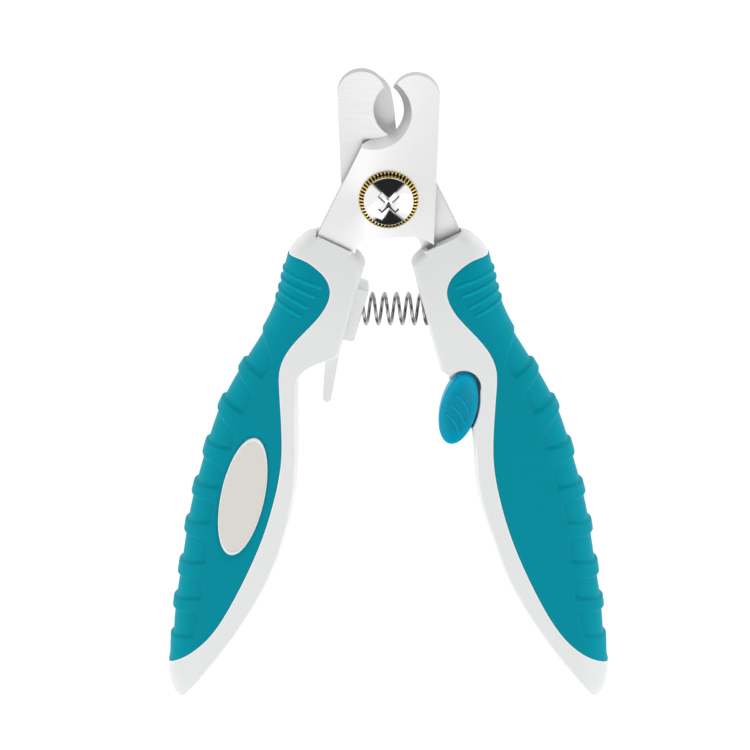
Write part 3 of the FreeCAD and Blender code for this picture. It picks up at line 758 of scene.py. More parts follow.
    def seam(self) -> np.ndarray:
        """Line where the hard shell meets the grip, from the collar's outer edge to the tip's.

        The right grip is a little wider: its seam lies further in by a straight rise with depth.
        """
        start, end = self.seam_points[0][1], self.seam_points[-1][1]
        moved = [(u - self.seam_inset - self.seam_lean * (v - start) / (end - start), v)
                 for u, v in self.seam_points[2:]]
        ends = at_height(self.outer_edge(), np.array([self.seam_top, self.seam_foot]))
        return smooth_run([tuple(ends[0]), *self.seam_points[:2], *moved, tuple(ends[1])])

    def height(self, places: np.ndarray) -> np.ndarray:
        """Half thickness at places in the outline.

        The full half thickness, times the rounded edge profile of the distance to the outer
        outline, times that of the distance to the inner one. Towards the mouth the full half
        thickness falls as a quarter sine wave to the mouth's own height, and the outer rounding
        tightens.
        """
        start, end = (np.array(place) for place in self.mouth)
        along = (end - start) / np.linalg.norm(end - start)
        below = (places - start) @ np.array([along[1], -along[0]])
        blend = ease(below / self.mouth_blend)
        rounding = self.mouth_round + (self.outer_round - self.mouth_round) * blend
        outer = edge_profile(distance_to(self.outer_edge(), places), rounding, self.outer_power)
        inner = edge_profile(distance_to(self.inner_edge(), places), self.inner_round,
                             self.inner_power)
        collar = np.sin(np.pi / 2 * np.clip(below / self.mouth_run, 0, 1))
        top = self.mouth_height + (self.half_thick - self.mouth_height) * collar
        return top * outer * inner

    def solid(self, places: np.ndarray, height: np.ndarray) -> np.ndarray:
        """Put (u, v) places and heights into (x, y, z), mirrored to the handle's side."""
        return np.stack([self.side.value * places[..., 0], places[..., 1], height], axis=-1)

    def rows(self, inner: np.ndarray, outer: np.ndarray, count: int,
             ties: tuple[tuple[float, float], ...] = ()) -> tuple[np.ndarray, np.ndarray]:
        """Pair two edges by height, with rows closer where either edge runs sideways.

        Args:
            inner: First edge, from top to bottom.
            outer: Second edge, from top to bottom.
            count: Number of rows.
            ties: Values of v on the inner and the outer edge that share a row, falling.

        Returns:
            The paired places on both edges.
        """
        fine = np.linspace(0, 1, 6000)
        tied = np.array([(inner[0, 1], outer[0, 1]), *ties, (inner[-1, 1], outer[-1, 1])])
        level = outer[0, 1] + fine * (outer[-1, 1] - outer[0, 1])
        inner_level = np.interp(-level, -tied[:, 1], tied[:, 0])
        pair = [at_height(inner, inner_level), at_height(outer, level)]
        travel = sum(np.linalg.norm(np.diff(run, axis=0), axis=1) for run in pair)
        travel = np.concatenate([[0.0], np.cumsum(travel)])
        chosen = np.interp(np.linspace(0, travel[-1], count), travel, fine)
        return tuple(np.stack([np.interp(chosen, fine, run[:, axis]) for axis in (0, 1)], axis=1)
                     for run in pair)

    def shell_outline(self) -> np.ndarray:
        """Outer limit of the hard shell: collar edge, then the seam, then the tip's edge."""
        outer = self.outer_edge()
        above = outer[outer[:, 1] > self.seam_top + 0.05]
        below = outer[outer[:, 1] < self.seam_foot - 0.05]
        return falling(np.concatenate([above, self.seam(), below]))

    def build_shell(self, face: Face) -> bpy.types.Object:
        """Closed hard shell half.

        Rows pair the inner edge with the shell's outer limit. Across a row the share goes from 0
        to 1 as half a cosine, so that columns are close where the surface turns over an edge. The
        row then comes back along the middle plane, set in at the inner edge as a parting groove.

        Args:
            face: Front or back half.

        Returns:
            The piece.
        """
        rows, columns = self.shell_grid
        inner, outer = self.rows(self.inner_edge(), self.shell_outline(), rows, self.row_ties)
        share = 0.5 - 0.5 * np.cos(np.pi * np.linspace(0, 1, columns))
        places = inner[:, None, :] + (outer - inner)[:, None, :] * share[None, :, None]
        top = self.solid(places, face.value * np.maximum(self.height(places), self.parting))
        width = np.linalg.norm(outer - inner, axis=1)
        set_in = np.minimum(self.parting_depth / np.maximum(width, 1e-6), self.parting_most)
        low_share = np.maximum(share[None, ::-1], set_in[:, None])
        low = inner[:, None, :] + (outer - inner)[:, None, :] * low_share[..., None]
        under = self.solid(low, np.full(low.shape[:2], face.value * self.parting / 3))
        # Painted highlight on the shell's face; none on the part along the middle plane.
        rim = np.concatenate([self.highlight(places), np.zeros(low.shape[:2])], axis=1)
        patch = Patch().grid(np.concatenate([top, under], axis=1), loop=True, rim=rim)
        for row in (0, -1):
            patch.grid(np.stack([top[row], under[row, ::-1]]), flip=row == 0)
        side_name = self.side.name.lower()
        end = {Face.FRONT: "front", Face.BACK: "rear"}[face]
        made = patch.piece("%s_%s_moulding" % (side_name, end), SHELL_PLASTIC)
        for cutter in self.mouth_cutters(face):
            carve(made, cutter)
        if self.side is Side.RIGHT:
            self.carve_right(made, face)
        return dress(made, self.body, "shell_plastic", "%s_%s_shell" % (side_name, end))

    def highlight(self, places: np.ndarray) -> np.ndarray:
        """Share of the painted highlight: along the seam, and in a band a little in from the inner
        edge.
        """
        by_seam = 1 - ease(distance_to(self.seam(), places) / self.seam_highlight_reach)
        middle, half_width = self.inner_highlight_band
        from_brow = np.abs(distance_to(self.inner_edge(), places) - middle)
        return np.maximum(by_seam, self.inner_highlight_strength * (1 - ease(from_brow / half_width)))

    def mouth_cutters(self, face: Face) -> list[bpy.types.Object]:
        """Boxes along the mouth that clear the blade's tang, and a pocket at the inner corner.

        Args:
            face: Which shell half is cut.

        Returns:
            The cutters.
        """
        over_tang = face.value == -self.side.value
        slot = self.slot_over_tang if over_tang else self.slot_elsewhere
        return [self.mouth_box(*self.slot_run, slot),
                self.mouth_box(*self.pocket_run, self.pocket_height)]

    def mouth_box(self, start: float, end: float, high: float) -> bpy.types.Object:
        """Closed box set into the mouth.

        Args:
            start: Where it starts along the mouth.
            end: Where it ends.
            high: Half its height, above and below the middle.

        Returns:
            The cutter.
        """
        first, last = (np.array(place) for place in self.mouth)
        along = (last - first) / np.linalg.norm(last - first)
        outward = np.array([-along[1], along[0]])
        corners = np.array([first + along * run + outward * out
                            for run, out in ((start, self.slot_proud), (start, -self.slot_depth),
                                             (end, -self.slot_depth), (end, self.slot_proud))])
        corners = corners * np.array([self.side.value, 1.0])
        rings = np.stack([np.column_stack([corners, np.full(4, level)]) for level in (-high, high)])
        return capped(rings, "mouth_cutter")

    def carve_right(self, made: bpy.types.Object, face: Face) -> None:
        """Open the lever's slot and the spring's bore, and in front the thumb pad's recess.

        Args:
            made: The right handle's shell half.
            face: Which half it is.
        """
        carve(made, box_cutter(*self.lever_slot))
        carve(made, tube_cutter(*self.spring_bore))
        if face is Face.FRONT:
            carve(made, self.recess_cutter())

    def recess_cutter(self) -> bpy.types.Object:
        """The room that the thumb pad sweeps, with its mouth flared into a soft edge.

        Seen from above it is the farthest reach from the pin, at each angle, of the pad's ellipse
        grown by the gap and swung through its travel.
        """
        turn = around(360)
        grown = Oval(THUMB_PAD.centre, THUMB_PAD.long_radius + self.recess_gap,
                     THUMB_PAD.short_radius + self.recess_gap, THUMB_PAD.tilt)
        swung = [grown.turned(LOCK_PIN, angle) for angle in np.linspace(0, self.swing, 41)]
        reach = np.max([oval.reach(LOCK_PIN, turn) for oval in swung], axis=0)
        reach = np.maximum(reach, self.post_room)
        levels, flare = np.array([(self.recess_bed, 0.0), *self.recess_flare]).T
        out = reach[None, :] + flare[:, None]
        ring = np.stack([LOCK_PIN[0] + out * np.cos(turn), LOCK_PIN[1] + out * np.sin(turn),
                         np.broadcast_to(levels[:, None], out.shape)], axis=-1)
        return capped(ring, "recess_cutter")

    def grip_places(self) -> np.ndarray:
        """(u, v) places of the grip's front, from the outer edge across to the seam.

        Rows pair the seam with the outer edge at equal v. The share across rises as a power, the
        grip's spread, which keeps the columns close at the outer edge.
        """
        seam = falling(self.seam())
        outer = self.outer_edge()
        between = (outer[:, 1] < self.seam_top) & (outer[:, 1] > self.seam_foot)
        outer = np.concatenate([seam[:1], outer[between], seam[-1:]])
        rows, columns = self.grip_grid
        on_seam, on_edge = self.rows(seam, outer, rows)
        share = np.linspace(0, 1, columns) ** self.grip_spread
        return on_edge[:, None, :] + (on_seam - on_edge)[:, None, :] * share[None, :, None]

    def relief(self, places: np.ndarray) -> np.ndarray:
        """How far the grip's surface stands out or in: ribs up, finger pads and seam down.

        A rib is a bar with rounded ends, raised by a smooth step of the distance to its middle
        line. A pad is the inside of three lines, sunk by a smooth step of the depth inside them.
        """
        relief = np.zeros(places.shape[:-1])
        for start, end in self.ribs:
            away = distance_to(np.array([start, end]), places)
            relief += self.rib_height * ease(self.rib_crown - away / self.rib_radius)
        for corners in self.pads:
            depth = self.inside(np.array(corners), places)
            relief -= self.pad_depth * ease(0.5 + depth / self.pad_softness)
        away = distance_to(self.seam(), places)
        return relief - self.seam_dip * (1 - ease(away / self.seam_width))

    def inside(self, corners: np.ndarray, places: np.ndarray) -> np.ndarray:
        """Depth inside a finger pad that is open on its outer side.

        Args:
            corners: Outer top, inner top, inner bottom and outer bottom.
            places: Where to measure.

        Returns:
            Positive depth inside, negative distance outside, with the inner corners rounded.
        """
        depths = []
        for start, end in zip(corners[:-1], corners[1:]):
            along = (end - start) / np.linalg.norm(end - start)
            offset = places - start
            depths.append(along[0] * offset[..., 1] - along[1] * offset[..., 0])
        far = 12.0
        smallest = sum(np.exp(-np.clip(depth, -far, far) / self.pad_corner) for depth in depths)
        return -self.pad_corner * np.log(smallest)

    def build_grip(self) -> bpy.types.Object:
        """Closed soft grip wrapped round the outer edge, with its ribs and finger pads.

        Each row runs from the front seam over the outer edge to the back seam, moved along the
        surface's normals by the relief, and closes along the seam's inner wall.

        Returns:
            The piece.
        """
        places = self.grip_places()
        height = self.height(places)
        relief = self.relief(places)
        sink = np.zeros_like(relief)
        if self.side is Side.LEFT:
            mirrored = places * np.array([-1.0, 1.0])
            sink = self.badge_sink * (1 - ease((BADGE.share(mirrored) - 1.0) / self.badge_wall))
        grid = np.concatenate([self.solid(places, height)[:, ::-1],
                               self.solid(places, -height)[:, 1:]], axis=1)
        width = np.linalg.norm(places[:, 0] - places[:, -1], axis=1)
        moved = np.concatenate([(relief - sink)[:, ::-1], relief[:, 1:]], axis=1)
        moved = moved * ease(width / self.wide_enough)[:, None]
        normals = grid_normals(grid) * self.side.value
        grid = grid + normals * moved[..., None]
        # Painted highlight share: lighter teal near the rounded outer edge and along the rib
        # crests.
        away = distance_to(self.outer_edge(), places)
        crest_from, crest_run = self.rib_crest_highlight
        rim = np.maximum(self.outer_edge_highlight * (1 - ease(away / self.outer_edge_highlight_width)),
                         ease((relief - crest_from) / crest_run))
        rim = np.concatenate([rim[:, ::-1], rim[:, 1:]], axis=1)
        middle = places.shape[1] - 1
        patch = Patch().grid(grid, loop=True, rim=rim)
        for row in (0, -1):
            patch.grid(np.stack([grid[row, :middle + 1], grid[row, :middle - 1:-1]]),
                       rim=np.stack([rim[row, :middle + 1], rim[row, :middle - 1:-1]]))
        side_name = self.side.name.lower()
        made = patch.piece("%s_soft_grip" % side_name, GRIP_RUBBER, sharp=75.0)
        return dress(made, self.body, "grip_rubber", "%s_grip" % side_name)

    def build(self) -> None:
        """Make both shells and the grip."""
        self.build_shell(Face.FRONT)
        self.build_shell(Face.BACK)
        self.build_grip()


def falling(run: np.ndarray) -> np.ndarray:
    """The same run with each v a hair below the one before, so that it can be looked up by v."""
    lowest = np.minimum.accumulate(run[:, 1]) - 1e-7 * np.arange(len(run))
    return np.stack([run[:, 0], lowest], axis=1)


def capped(rings: np.ndarray, name: str) -> bpy.types.Object:
    """Closed cutter from a stack of rings, first ring lowest.

    Args:
        rings: Levels by angles by 3.
        name: The cutter's name.

    Returns:
        The linked object.
    """
    ends = [np.broadcast_to(rings[level].mean(0), rings[level].shape) for level in (0, -1)]
    whole = np.concatenate([ends[0][None], rings, ends[1][None]])
    return Patch().grid(whole, loop=True).piece(name, SHELL_PLASTIC)


def box_cutter(low: tuple[float, float, float],
               high: tuple[float, float, float]) -> bpy.types.Object:
    """Closed box between two corners."""
    (x0, y0, z0), (x1, y1, z1) = low, high
    corners = np.array([(x0, y0), (x1, y0), (x1, y1), (x0, y1)])
    rings = np.stack([np.column_stack([corners, np.full(4, level)]) for level in (z0, z1)])
    return capped(rings, "box_cutter")


def tube_cutter(start: tuple[float, float], length: float, radius: float) -> bpy.types.Object:
    """Closed cylinder along +X from (x, v) start on the middle plane."""
    turn = around(64)
    rings = np.stack([np.stack([np.full(len(turn), start[0] + step * length),
                                start[1] + radius * np.cos(turn), radius * np.sin(turn)], axis=-1)
                      for step in (0.0, 1.0)])
    return capped(rings, "tube_cutter")


# ------------------------------------------------------------------ small parts
@dataclass
class Badge:
    """Blank oval plate that follows the left grip's surface, with a raised rim."""

    handle: Handle
    stand: float = 0.12
    rim_width: float = 0.055
    rim_height: float = 0.16
    rim_light: float = 3.0
    skirt: float = 1.4

    def build(self) -> bpy.types.Object:
        """Rings from the centre to the edge, then down a skirt; z is the grip's own height plus
        the stand, and over the outermost share of the radius half a sine wave for the rim.

        Returns:
            The piece.
        """
        share = np.concatenate([np.linspace(0, 1 - self.rim_width, 26),
                                np.linspace(1 - self.rim_width, 1, 9)[1:]])
        turn = around(240)
        places = BADGE.ring(share, turn)
        height = self.handle.height(places * np.array([-1.0, 1.0]))
        across = np.clip((share - 1 + self.rim_width) / self.rim_width, 0, 1)
        height = height + (self.stand + self.rim_height * np.sin(np.pi * across))[:, None]
        top = np.concatenate([places, height[..., None]], axis=-1)
        skirt = top[-1:].copy()
        skirt[..., 2] -= self.skirt
        floor = np.broadcast_to(skirt.mean(axis=1, keepdims=True), skirt.shape)
        rim = ease(across * self.rim_light)[:, None] * np.ones(len(turn))
        edge = np.ones((2, len(turn)))
        whole = np.concatenate([top, skirt, floor])
        patch = Patch().grid(whole, loop=True, rim=np.concatenate([rim, edge]))
        made = patch.piece("left_badge_plate", BADGE_PLATE)
        return dress(made, "left_half", "badge_plate", "left_badge")


@dataclass
class ThumbPad:
    """Dished oval thumb pad with three curved ridges, on its post."""

    top: float = 7.5
    underside: float = 3.1
    dish: float = 1.1
    dish_power: float = 2.6
    # Painted highlight: lighter blue from this share of the radius outwards, up to this strength.
    painted_highlight_from: float = 0.5
    light: float = 0.7
    edge_round: float = 0.10
    edge_drop: float = 1.3
    ridge_height: float = 0.32
    ridge_radius: float = 0.42
    post_radius: float = 2.4
    post_low: float = 1.3
    ridges: tuple[tuple[tuple[float, float], ...], ...] = (
        ((15.9, -48.5), (18.1, -50.4), (19.5, -53.2)),
        ((14.8, -51.2), (17.0, -53.2), (18.5, -56.0)),
        ((14.0, -53.7), (15.9, -55.6), (17.1, -58.2)))

    def ridge_share(self, places: np.ndarray) -> np.ndarray:
        """1 on the ridges' middle lines, falling to 0 at the ridge radius by a smooth step."""
        nearest = np.min([distance_to(smooth_run(list(points), 8), places)
                          for points in self.ridges], axis=0)
        return ease(1 - nearest / self.ridge_radius)

    def surface(self, places: np.ndarray, share: np.ndarray) -> np.ndarray:
        """Height of the dished top: it rises as a power of the share, rolls over at the edge as a
        quarter circle, and carries the ridges.

        Args:
            places: Rings by angles by 2.
            share: The rings' shares of the radius.

        Returns:
            Heights, rings by angles.
        """
        rise = self.dish * (1 - share ** self.dish_power)
        roll = 1 - edge_profile(1 - share, self.edge_round, 2.0)
        plain = (self.top - rise - self.edge_drop * roll)[:, None]
        return plain + self.ridge_height * self.ridge_share(places)

    def build(self) -> bpy.types.Object:
        """Dished top, side wall, underside and post as one closed run of rings.

        Returns:
            The piece.
        """
        share = np.concatenate([np.linspace(0, 0.9, 70), np.linspace(0.9, 1, 16)[1:]])
        turn = around(240)
        places = THUMB_PAD.ring(share, turn)
        top = np.concatenate([places, self.surface(places, share)[..., None]], axis=-1)
        low = top[-1:].copy()
        low[..., 2] = self.underside
        post_turn = turn_to_pin(low[0, :, :2])
        post = np.stack([LOCK_PIN[0] + self.post_radius * np.cos(post_turn),
                         LOCK_PIN[1] + self.post_radius * np.sin(post_turn),
                         np.full(len(turn), self.underside)], axis=-1)[None]
        foot = post.copy()
        foot[..., 2] = self.post_low
        close = np.broadcast_to(foot.mean(axis=1, keepdims=True), foot.shape)
        # Painted highlight share: rising towards the dish's edge and on the ridges, full on the
        # side wall, underside and post.
        outward = ease((share - self.painted_highlight_from) / (1 - self.painted_highlight_from))[:, None]
        rim = np.maximum(self.light * outward, self.ridge_share(places))
        rim = np.concatenate([rim, np.ones((4, len(turn)))])
        whole = np.concatenate([top, low, post, foot, close])
        made = Patch().grid(whole, loop=True, rim=rim).piece("thumb_pad", PAD_PLASTIC)
        return dress(made, "lock", "pad_plastic", "lock_thumb_pad")


def turn_to_pin(ring: np.ndarray) -> np.ndarray:
    """Angle from the lock pin to each place of a ring round it."""
    return np.arctan2(ring[:, 1] - LOCK_PIN[1], ring[:, 0] - LOCK_PIN[0])


@dataclass
class PivotScrew:
    """Domed chrome screw head with a cross recess, and its shank."""

    head_radius: float = 6.0
    head_low: float = 4.25
    rim_top: float = 4.75
    crown: float = 1.55
    arm_length: float = 2.9
    arm_width: float = 0.62
    recess_depth: float = 1.6
    recess_end_share: float = 0.45
    side_wall: float = 0.22
    end_wall: float = 0.4
    fine_radius: float = 3.4
    rim_round: tuple[float, float] = (0.06, 0.12)
    shank_radius: float = 2.9
    shank_low: float = -7.0

    def dome(self, radius: np.ndarray, turn: np.ndarray) -> np.ndarray:
        """Height of the head: a shallow cap, rim + crown times (1 - r squared), less the recess.

        The recess is the deeper of two bars turned 45 degrees, each a product of smooth steps of
        the distance inside its long and its short sides, and it deepens towards the middle.
        """
        share = radius / self.head_radius
        height = self.rim_top + self.crown * (1 - share ** 2)
        middle = 1 - np.clip(radius / self.arm_length, 0, 1)
        deep = self.recess_end_share + (1 - self.recess_end_share) * middle
        return height - self.recess_depth * deep * self.cross(radius, turn)

    def cross(self, radius: np.ndarray, turn: np.ndarray) -> np.ndarray:
        """1 inside the cross recess, 0 outside, by smooth steps over its walls."""
        x, y = radius * np.cos(turn + np.pi / 4), radius * np.sin(turn + np.pi / 4)
        bars = [ease((self.arm_width - np.abs(across)) / self.side_wall + 0.5)
                * ease((self.arm_length - np.abs(along)) / self.end_wall + 0.5)
                for across, along in ((x, y), (y, x))]
        return np.maximum(*bars)

    def build(self) -> bpy.types.Object:
        """Rings out over the dome, round the rim, in to the shank and down it.

        Returns:
            The piece.
        """
        radius = np.concatenate([np.linspace(0, self.fine_radius, 60),
                                 np.linspace(self.fine_radius, self.head_radius, 22)[1:]])
        turn = around(288)
        out, angle = np.meshgrid(radius, turn, indexing="ij")
        height = self.dome(out, angle)
        sunk = self.cross(out, angle)
        # Painted shade on the cross recess's walls, where the recess share is halfway.
        rim = np.clip(4 * sunk * (1 - sunk), 0, 1)
        out_by, down_by = self.rim_round
        steps = [(self.head_radius + out_by, self.rim_top - down_by),
                 (self.head_radius, self.head_low), (self.shank_radius, self.head_low),
                 (self.shank_radius, self.shank_low), (0.0, self.shank_low)]
        out = np.concatenate([out, *[np.full((1, len(turn)), r) for r, _ in steps]])
        height = np.concatenate([height, *[np.full((1, len(turn)), z) for _, z in steps]])
        grid = np.stack([out * np.cos(turn), out * np.sin(turn), height], axis=-1)
        rim = np.concatenate([rim, np.zeros((len(steps), len(turn)))])
        made = Patch().grid(grid, loop=True, rim=rim).piece("pivot_screw_dome", CHROME, sharp=50.0)
        return dress(made, "left_half", "chrome_screw", "pivot_screw")


@dataclass
class PivotRing:
    """Serrated brass washer: a bevelled ring whose teeth are waves round its slope.

    The bevel is a row of (radius, height, share of the tooth's depth).
    """

    inner: float = 2.98
    outer: float = 7.25
    low: float = 3.06
    high: float = 4.24
    teeth: int = 48
    steps_per_tooth: int = 14
    tooth_height: float = 0.55
    tooth_steepness: float = 0.9
    tooth_slope: float = 0.25
    bevel: tuple[tuple[float, float, float], ...] = (
        (5.95, 4.24, 0.2), (6.1, 4.24, 0.6), (6.35, 4.2, 1.0), (6.65, 4.08, 1.0), (6.95, 3.9, 1.0),
        (7.25, 3.65, 0.9))

    def build(self) -> bpy.types.Object:
        """Profile from the bore over the top and down the bevel, carried round the pivot. On the
        bevel the height falls between the teeth, by a smooth step of a cosine of their count.

        Returns:
            The piece.
        """
        profile = [(self.inner, self.high, 0.0), *self.bevel, (self.outer, self.low, 0.0),
                   (self.inner, self.low, 0.0)]
        radius, height, depth = np.array(profile).T
        turn = around(self.teeth * self.steps_per_tooth)
        wave = ease(0.5 - self.tooth_steepness * np.cos(self.teeth * turn))[None, :]
        fall = self.tooth_height * depth[:, None] * wave
        out = radius[:, None] - self.tooth_slope * fall
        grid = np.stack([out * np.cos(turn), out * np.sin(turn), height[:, None] - fall], axis=-1)
        grid = np.concatenate([grid, grid[:1]])
        # Painted shade between the teeth, where the bevel falls.
        rim = depth[:, None] * wave
        rim = np.concatenate([rim, rim[:1]])
        made = Patch().grid(grid, loop=True, rim=rim).piece("serrated_ring", BRASS, sharp=60.0)
        return dress(made, "left_half", "brass_ring", "pivot_ring")


@dataclass
class SpringSeat:
    """Rounded block on the left spring face that the spring pushes on."""

    face: tuple[tuple[float, float], tuple[float, float]] = ((-5.5, -15.9), (-11.9, -39.2))
    middle_v: float = -28.8
    proud: float = 2.6
    sunk: float = 2.8
    half_length: float = 6.9
    half_height: float = 4.5
    corner: float = 0.45
    squareness: float = 8.0

    def build(self) -> bpy.types.Object:
        """Rings of a rounded rectangle carried along the face, drawn in at both ends.

        The ring is a superellipse, and the ends shrink by a quarter circle.

        Returns:
            The piece.
        """
        top, foot = (np.array(place) for place in self.face)
        along = (foot - top) / np.linalg.norm(foot - top)
        outward = np.array([-along[1], along[0]])
        middle = top + along * (top[1] - self.middle_v) / -along[1]
        middle = middle + outward * (self.proud - self.sunk) / 2
        rounding = np.linspace(0, np.pi / 2, 7)
        run = self.half_length - self.corner * (1 - np.sin(rounding))
        inset = self.corner * (1 - np.cos(rounding))
        stations = np.concatenate([-run[::-1], run])
        inset = np.concatenate([inset[::-1], inset])[:, None]
        turn = around(96)
        cos, sin = np.cos(turn), np.sin(turn)
        power = self.squareness
        radius = (np.abs(cos) ** power + np.abs(sin) ** power) ** (-1 / power)
        half = (self.proud + self.sunk) / 2
        out = (half - inset) * (radius * cos)
        up = (self.half_height - inset) * (radius * sin)
        flat = middle + stations[:, None, None] * along + out[..., None] * outward
        rings = np.concatenate([flat, up[..., None]], axis=-1)
        ends = [np.broadcast_to(rings[i].mean(0), rings[i].shape)[None] for i in (0, -1)]
        whole = np.concatenate([ends[0], rings, ends[1]])
        made = Patch().grid(whole, loop=True).piece("spring_seat_block", SHELL_PLASTIC, sharp=60.0)
        return dress(made, "left_half", "shell_plastic", "left_spring_seat")


@dataclass
class ReturnSpring:
    """Open coiled spring along X between the handles, its wire's ends closed."""

    axis_v: float = -28.8
    left: float = -9.0
    right: float = 12.4
    radius: float = 3.75
    wire: float = 0.42
    pitch: float = 2.93
    top_at: float = -3.8
    closed_share: float = 0.22
    steps_per_turn: int = 60
    wire_sides: int = 16

    def build(self) -> bpy.types.Object:
        """A circle carried along a helix: y = v + R cos t, z = R sin t, x = top + pitch t / 2 pi.

        Returns:
            The piece.
        """
        count = int((self.right - self.left) / self.pitch * self.steps_per_turn)
        along = np.linspace(self.left, self.right, count)
        turn = 2 * np.pi * (along - self.top_at) / self.pitch
        outward = np.stack([np.zeros(count), np.cos(turn), np.sin(turn)], axis=-1)
        slope = self.pitch / (2 * np.pi)
        tangent = np.stack([np.full(count, slope), -self.radius * np.sin(turn),
                            self.radius * np.cos(turn)], axis=-1)
        tangent /= np.linalg.norm(tangent, axis=1, keepdims=True)
        sideways = np.cross(tangent, outward)
        centre = np.stack([along, np.full(count, self.axis_v), np.zeros(count)], axis=-1)
        centre = centre + self.radius * outward
        side = around(self.wire_sides)[None, :, None]
        tube = centre[:, None] + self.wire * (np.cos(side) * outward[:, None]
                                              + np.sin(side) * sideways[:, None])
        ends = [np.broadcast_to(centre[i], tube[i].shape)[None] for i in (0, -1)]
        whole = np.concatenate([ends[0], tube, ends[1]])
        made = Patch().grid(whole, loop=True).piece("coil_spring", SPRING_STEEL, sharp=60.0)
        dress(made, "left_half", "spring_steel", "return_spring")
        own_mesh(made)
        return made


# ------------------------------------------------------------------ steel and small parts
@dataclass
class SteelParts:
    """CAD nodes that keep their shape and take a metal or plastic finish."""

    finishes: dict[str, Finish] = field(default_factory=lambda: {
        "front_blade": FRONT_STEEL, "rear_blade": REAR_STEEL, "safety_guard": GUARD_STEEL,
        "spring_washer": SPRING_STEEL, "pivot_nut": CHROME, "lock_lever": GUARD_STEEL,
        "lock_pin": CHROME, "detent_spring": DARK_STEEL, "left_tang_rivets": CHROME,
        "right_tang_rivets": CHROME, "lock_catch": SHELL_PLASTIC})

    def dress(self) -> None:
        """Give each node its finish."""
        for node, finish in self.finishes.items():
            mesh = frame["nodes"][node].data
            mesh.materials.clear()
            mesh.materials.append(finish.material())


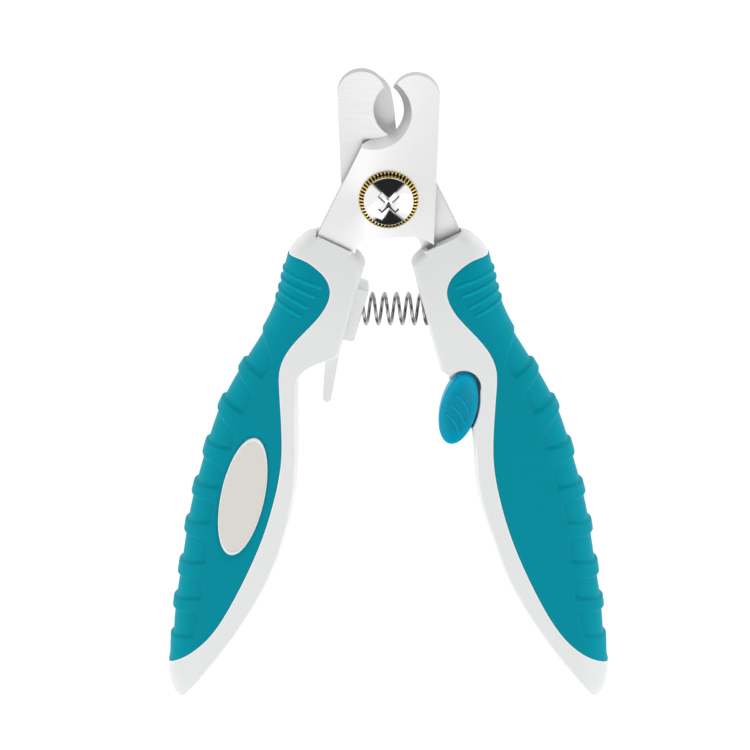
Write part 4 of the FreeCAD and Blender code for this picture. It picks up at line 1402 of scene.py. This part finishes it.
# ------------------------------------------------------------------ studio
@dataclass
class Studio:
    """Pale floor, soft lights and the camera."""

    tilt: float = 18.0
    lens: float = 700.0
    width_seen: float = 183.0
    aim: tuple[float, float] = (-3.3, -45.8)
    sky: float = 1.06
    flag: float = 0.02
    mirror_lean: float = 0.30
    flag_start: float = 0.10
    flag_full: float = 0.26
    flag_narrow: float = 0.8
    horizon: tuple[float, float] = (0.60, 0.78)
    floor_glow: float = 0.85
    floor_reach: float = 3.0
    floor_drop: float = 0.0003
    lamp_breadth: float = 0.6

    def build(self) -> None:
        """Make the floor, the world, the lights and the camera."""
        bpy.context.scene.view_settings.view_transform = "Standard"
        self.floor()
        self.world()
        self.lamp("key_lamp", (-0.35, -0.55, 0.75), 1.7)
        self.lamp("fill_lamp", (0.55, -0.25, 0.6), 0.9)
        self.camera()

    def floor(self) -> None:
        """A wide pale plane under the trimmer, that glows a little."""
        corners = [(x * self.floor_reach, y * self.floor_reach, -self.floor_drop)
                   for x, y in ((-1, -1), (1, -1), (1, 1), (-1, 1))]
        mesh = bpy.data.meshes.new("floor")
        mesh.from_pydata(corners, [], [(0, 1, 2, 3)])
        pale = Finish("pale_floor", (0.35, 0.35, 0.35), 0.9, grain_depth=0.0,
                      shade_contrast=0.0).material()
        shader = pale.node_tree.nodes["Principled BSDF"]
        shader.inputs["Emission Color"].default_value = (1.0, 1.0, 1.0, 1.0)
        shader.inputs["Emission Strength"].default_value = self.floor_glow
        mesh.materials.append(pale)
        made = bpy.data.objects.new("floor", mesh)
        bpy.context.scene.collection.objects.link(made)

    def world(self) -> None:
        """White surroundings with a dark flag ahead and behind, for contrast on the chrome.

        Brightness falls by a smooth step of how far a direction's y is from the mirror view of a
        flat face, less most of the size of its x, so the flags are two sectors. Near the horizon
        ahead it rises again.
        """
        world = bpy.data.worlds.new("studio")
        bpy.context.scene.world = world
        world.use_nodes = True
        tree = world.node_tree
        place = tree.nodes.new("ShaderNodeTexCoord")
        split = tree.nodes.new("ShaderNodeSeparateXYZ")
        tree.links.new(place.outputs["Generated"], split.inputs[0])
        from_mirror = self.arithmetic(tree, "ADD", split.outputs["Y"], self.mirror_lean)
        along = self.arithmetic(tree, "ABSOLUTE", from_mirror)
        across = self.arithmetic(tree, "ABSOLUTE", split.outputs["X"])
        across = self.arithmetic(tree, "MULTIPLY", across, self.flag_narrow)
        beyond = self.arithmetic(tree, "SUBTRACT", along, across)
        low = tree.nodes.new("ShaderNodeMapRange")
        low.inputs["From Min"].default_value, low.inputs["From Max"].default_value = self.horizon
        tree.links.new(split.outputs["Y"], low.inputs["Value"])
        beyond = self.arithmetic(tree, "SUBTRACT", beyond, low.outputs["Result"])
        ramp = tree.nodes.new("ShaderNodeMapRange")
        ramp.interpolation_type = "SMOOTHSTEP"
        ramp.inputs["From Min"].default_value = self.flag_start
        ramp.inputs["From Max"].default_value = self.flag_full
        ramp.inputs["To Min"].default_value = self.sky
        ramp.inputs["To Max"].default_value = self.flag
        tree.links.new(beyond, ramp.inputs["Value"])
        tree.links.new(ramp.outputs["Result"], tree.nodes["Background"].inputs["Strength"])
        tree.nodes["Background"].inputs["Color"].default_value = (1.0, 1.0, 1.0, 1.0)

    def arithmetic(self, tree: bpy.types.NodeTree, operation: str, first: bpy.types.NodeSocket,
                   second: bpy.types.NodeSocket | float | None = None) -> bpy.types.NodeSocket:
        """One step of arithmetic in the world's node tree.

        Args:
            tree: The world's node tree.
            operation: The Math node's operation.
            first: Its first value.
            second: Its second value, if it takes one.

        Returns:
            The result's socket.
        """
        made = tree.nodes.new("ShaderNodeMath")
        made.operation = operation
        tree.links.new(first, made.inputs[0])
        if isinstance(second, float):
            made.inputs[1].default_value = second
        elif second is not None:
            tree.links.new(second, made.inputs[1])
        return made.outputs[0]

    def lamp(self, name: str, place: tuple[float, float, float], power: float) -> None:
        """Add a square soft lamp that looks at the origin.

        Args:
            name: The lamp's name.
            place: Where it hangs, in metres.
            power: Its power, in watts.
        """
        data = bpy.data.lights.new(name, "AREA")
        data.size = self.lamp_breadth
        data.energy = power
        made = bpy.data.objects.new(name, data)
        made.location = place
        made.rotation_euler = (-Vector(place)).to_track_quat("-Z", "Y").to_euler()
        bpy.context.scene.collection.objects.link(made)

    def camera(self) -> None:
        """Long lens above the front face, leaning towards the blade tips, image up along +Y."""
        data = bpy.data.cameras.new("camera")
        data.lens = self.lens
        data.clip_start = 0.01
        made = bpy.data.objects.new("camera", data)
        bpy.context.scene.collection.objects.link(made)
        lean = math.radians(self.tilt)
        back = Vector((0.0, math.sin(lean), math.cos(lean)))
        target = PIVOT + Vector((self.aim[0], self.aim[1], 0.0)) * MM
        reach = self.width_seen * MM * data.lens / data.sensor_width
        up = Vector((0.0, math.cos(lean), -math.sin(lean)))
        right = up.cross(back)
        made.matrix_world = Matrix.Translation(target + back * reach) @ Matrix(
            (right, up, back)).transposed().to_4x4()
        bpy.context.scene.camera = made


def main() -> None:
    """Build every sub-assembly in order."""
    logging.basicConfig(level=logging.INFO, format="%(name)s %(message)s")
    SteelParts().dress()
    left = Handle(Side.LEFT, "left_half")
    left.build()
    Handle(Side.RIGHT, "right_half", seam_lean=1.2).build()
    Badge(left).build()
    ThumbPad().build()
    PivotScrew().build()
    PivotRing().build()
    SpringSeat().build()
    ReturnSpring().build()
    Studio().build()


if __name__ == "__main__":
    main()
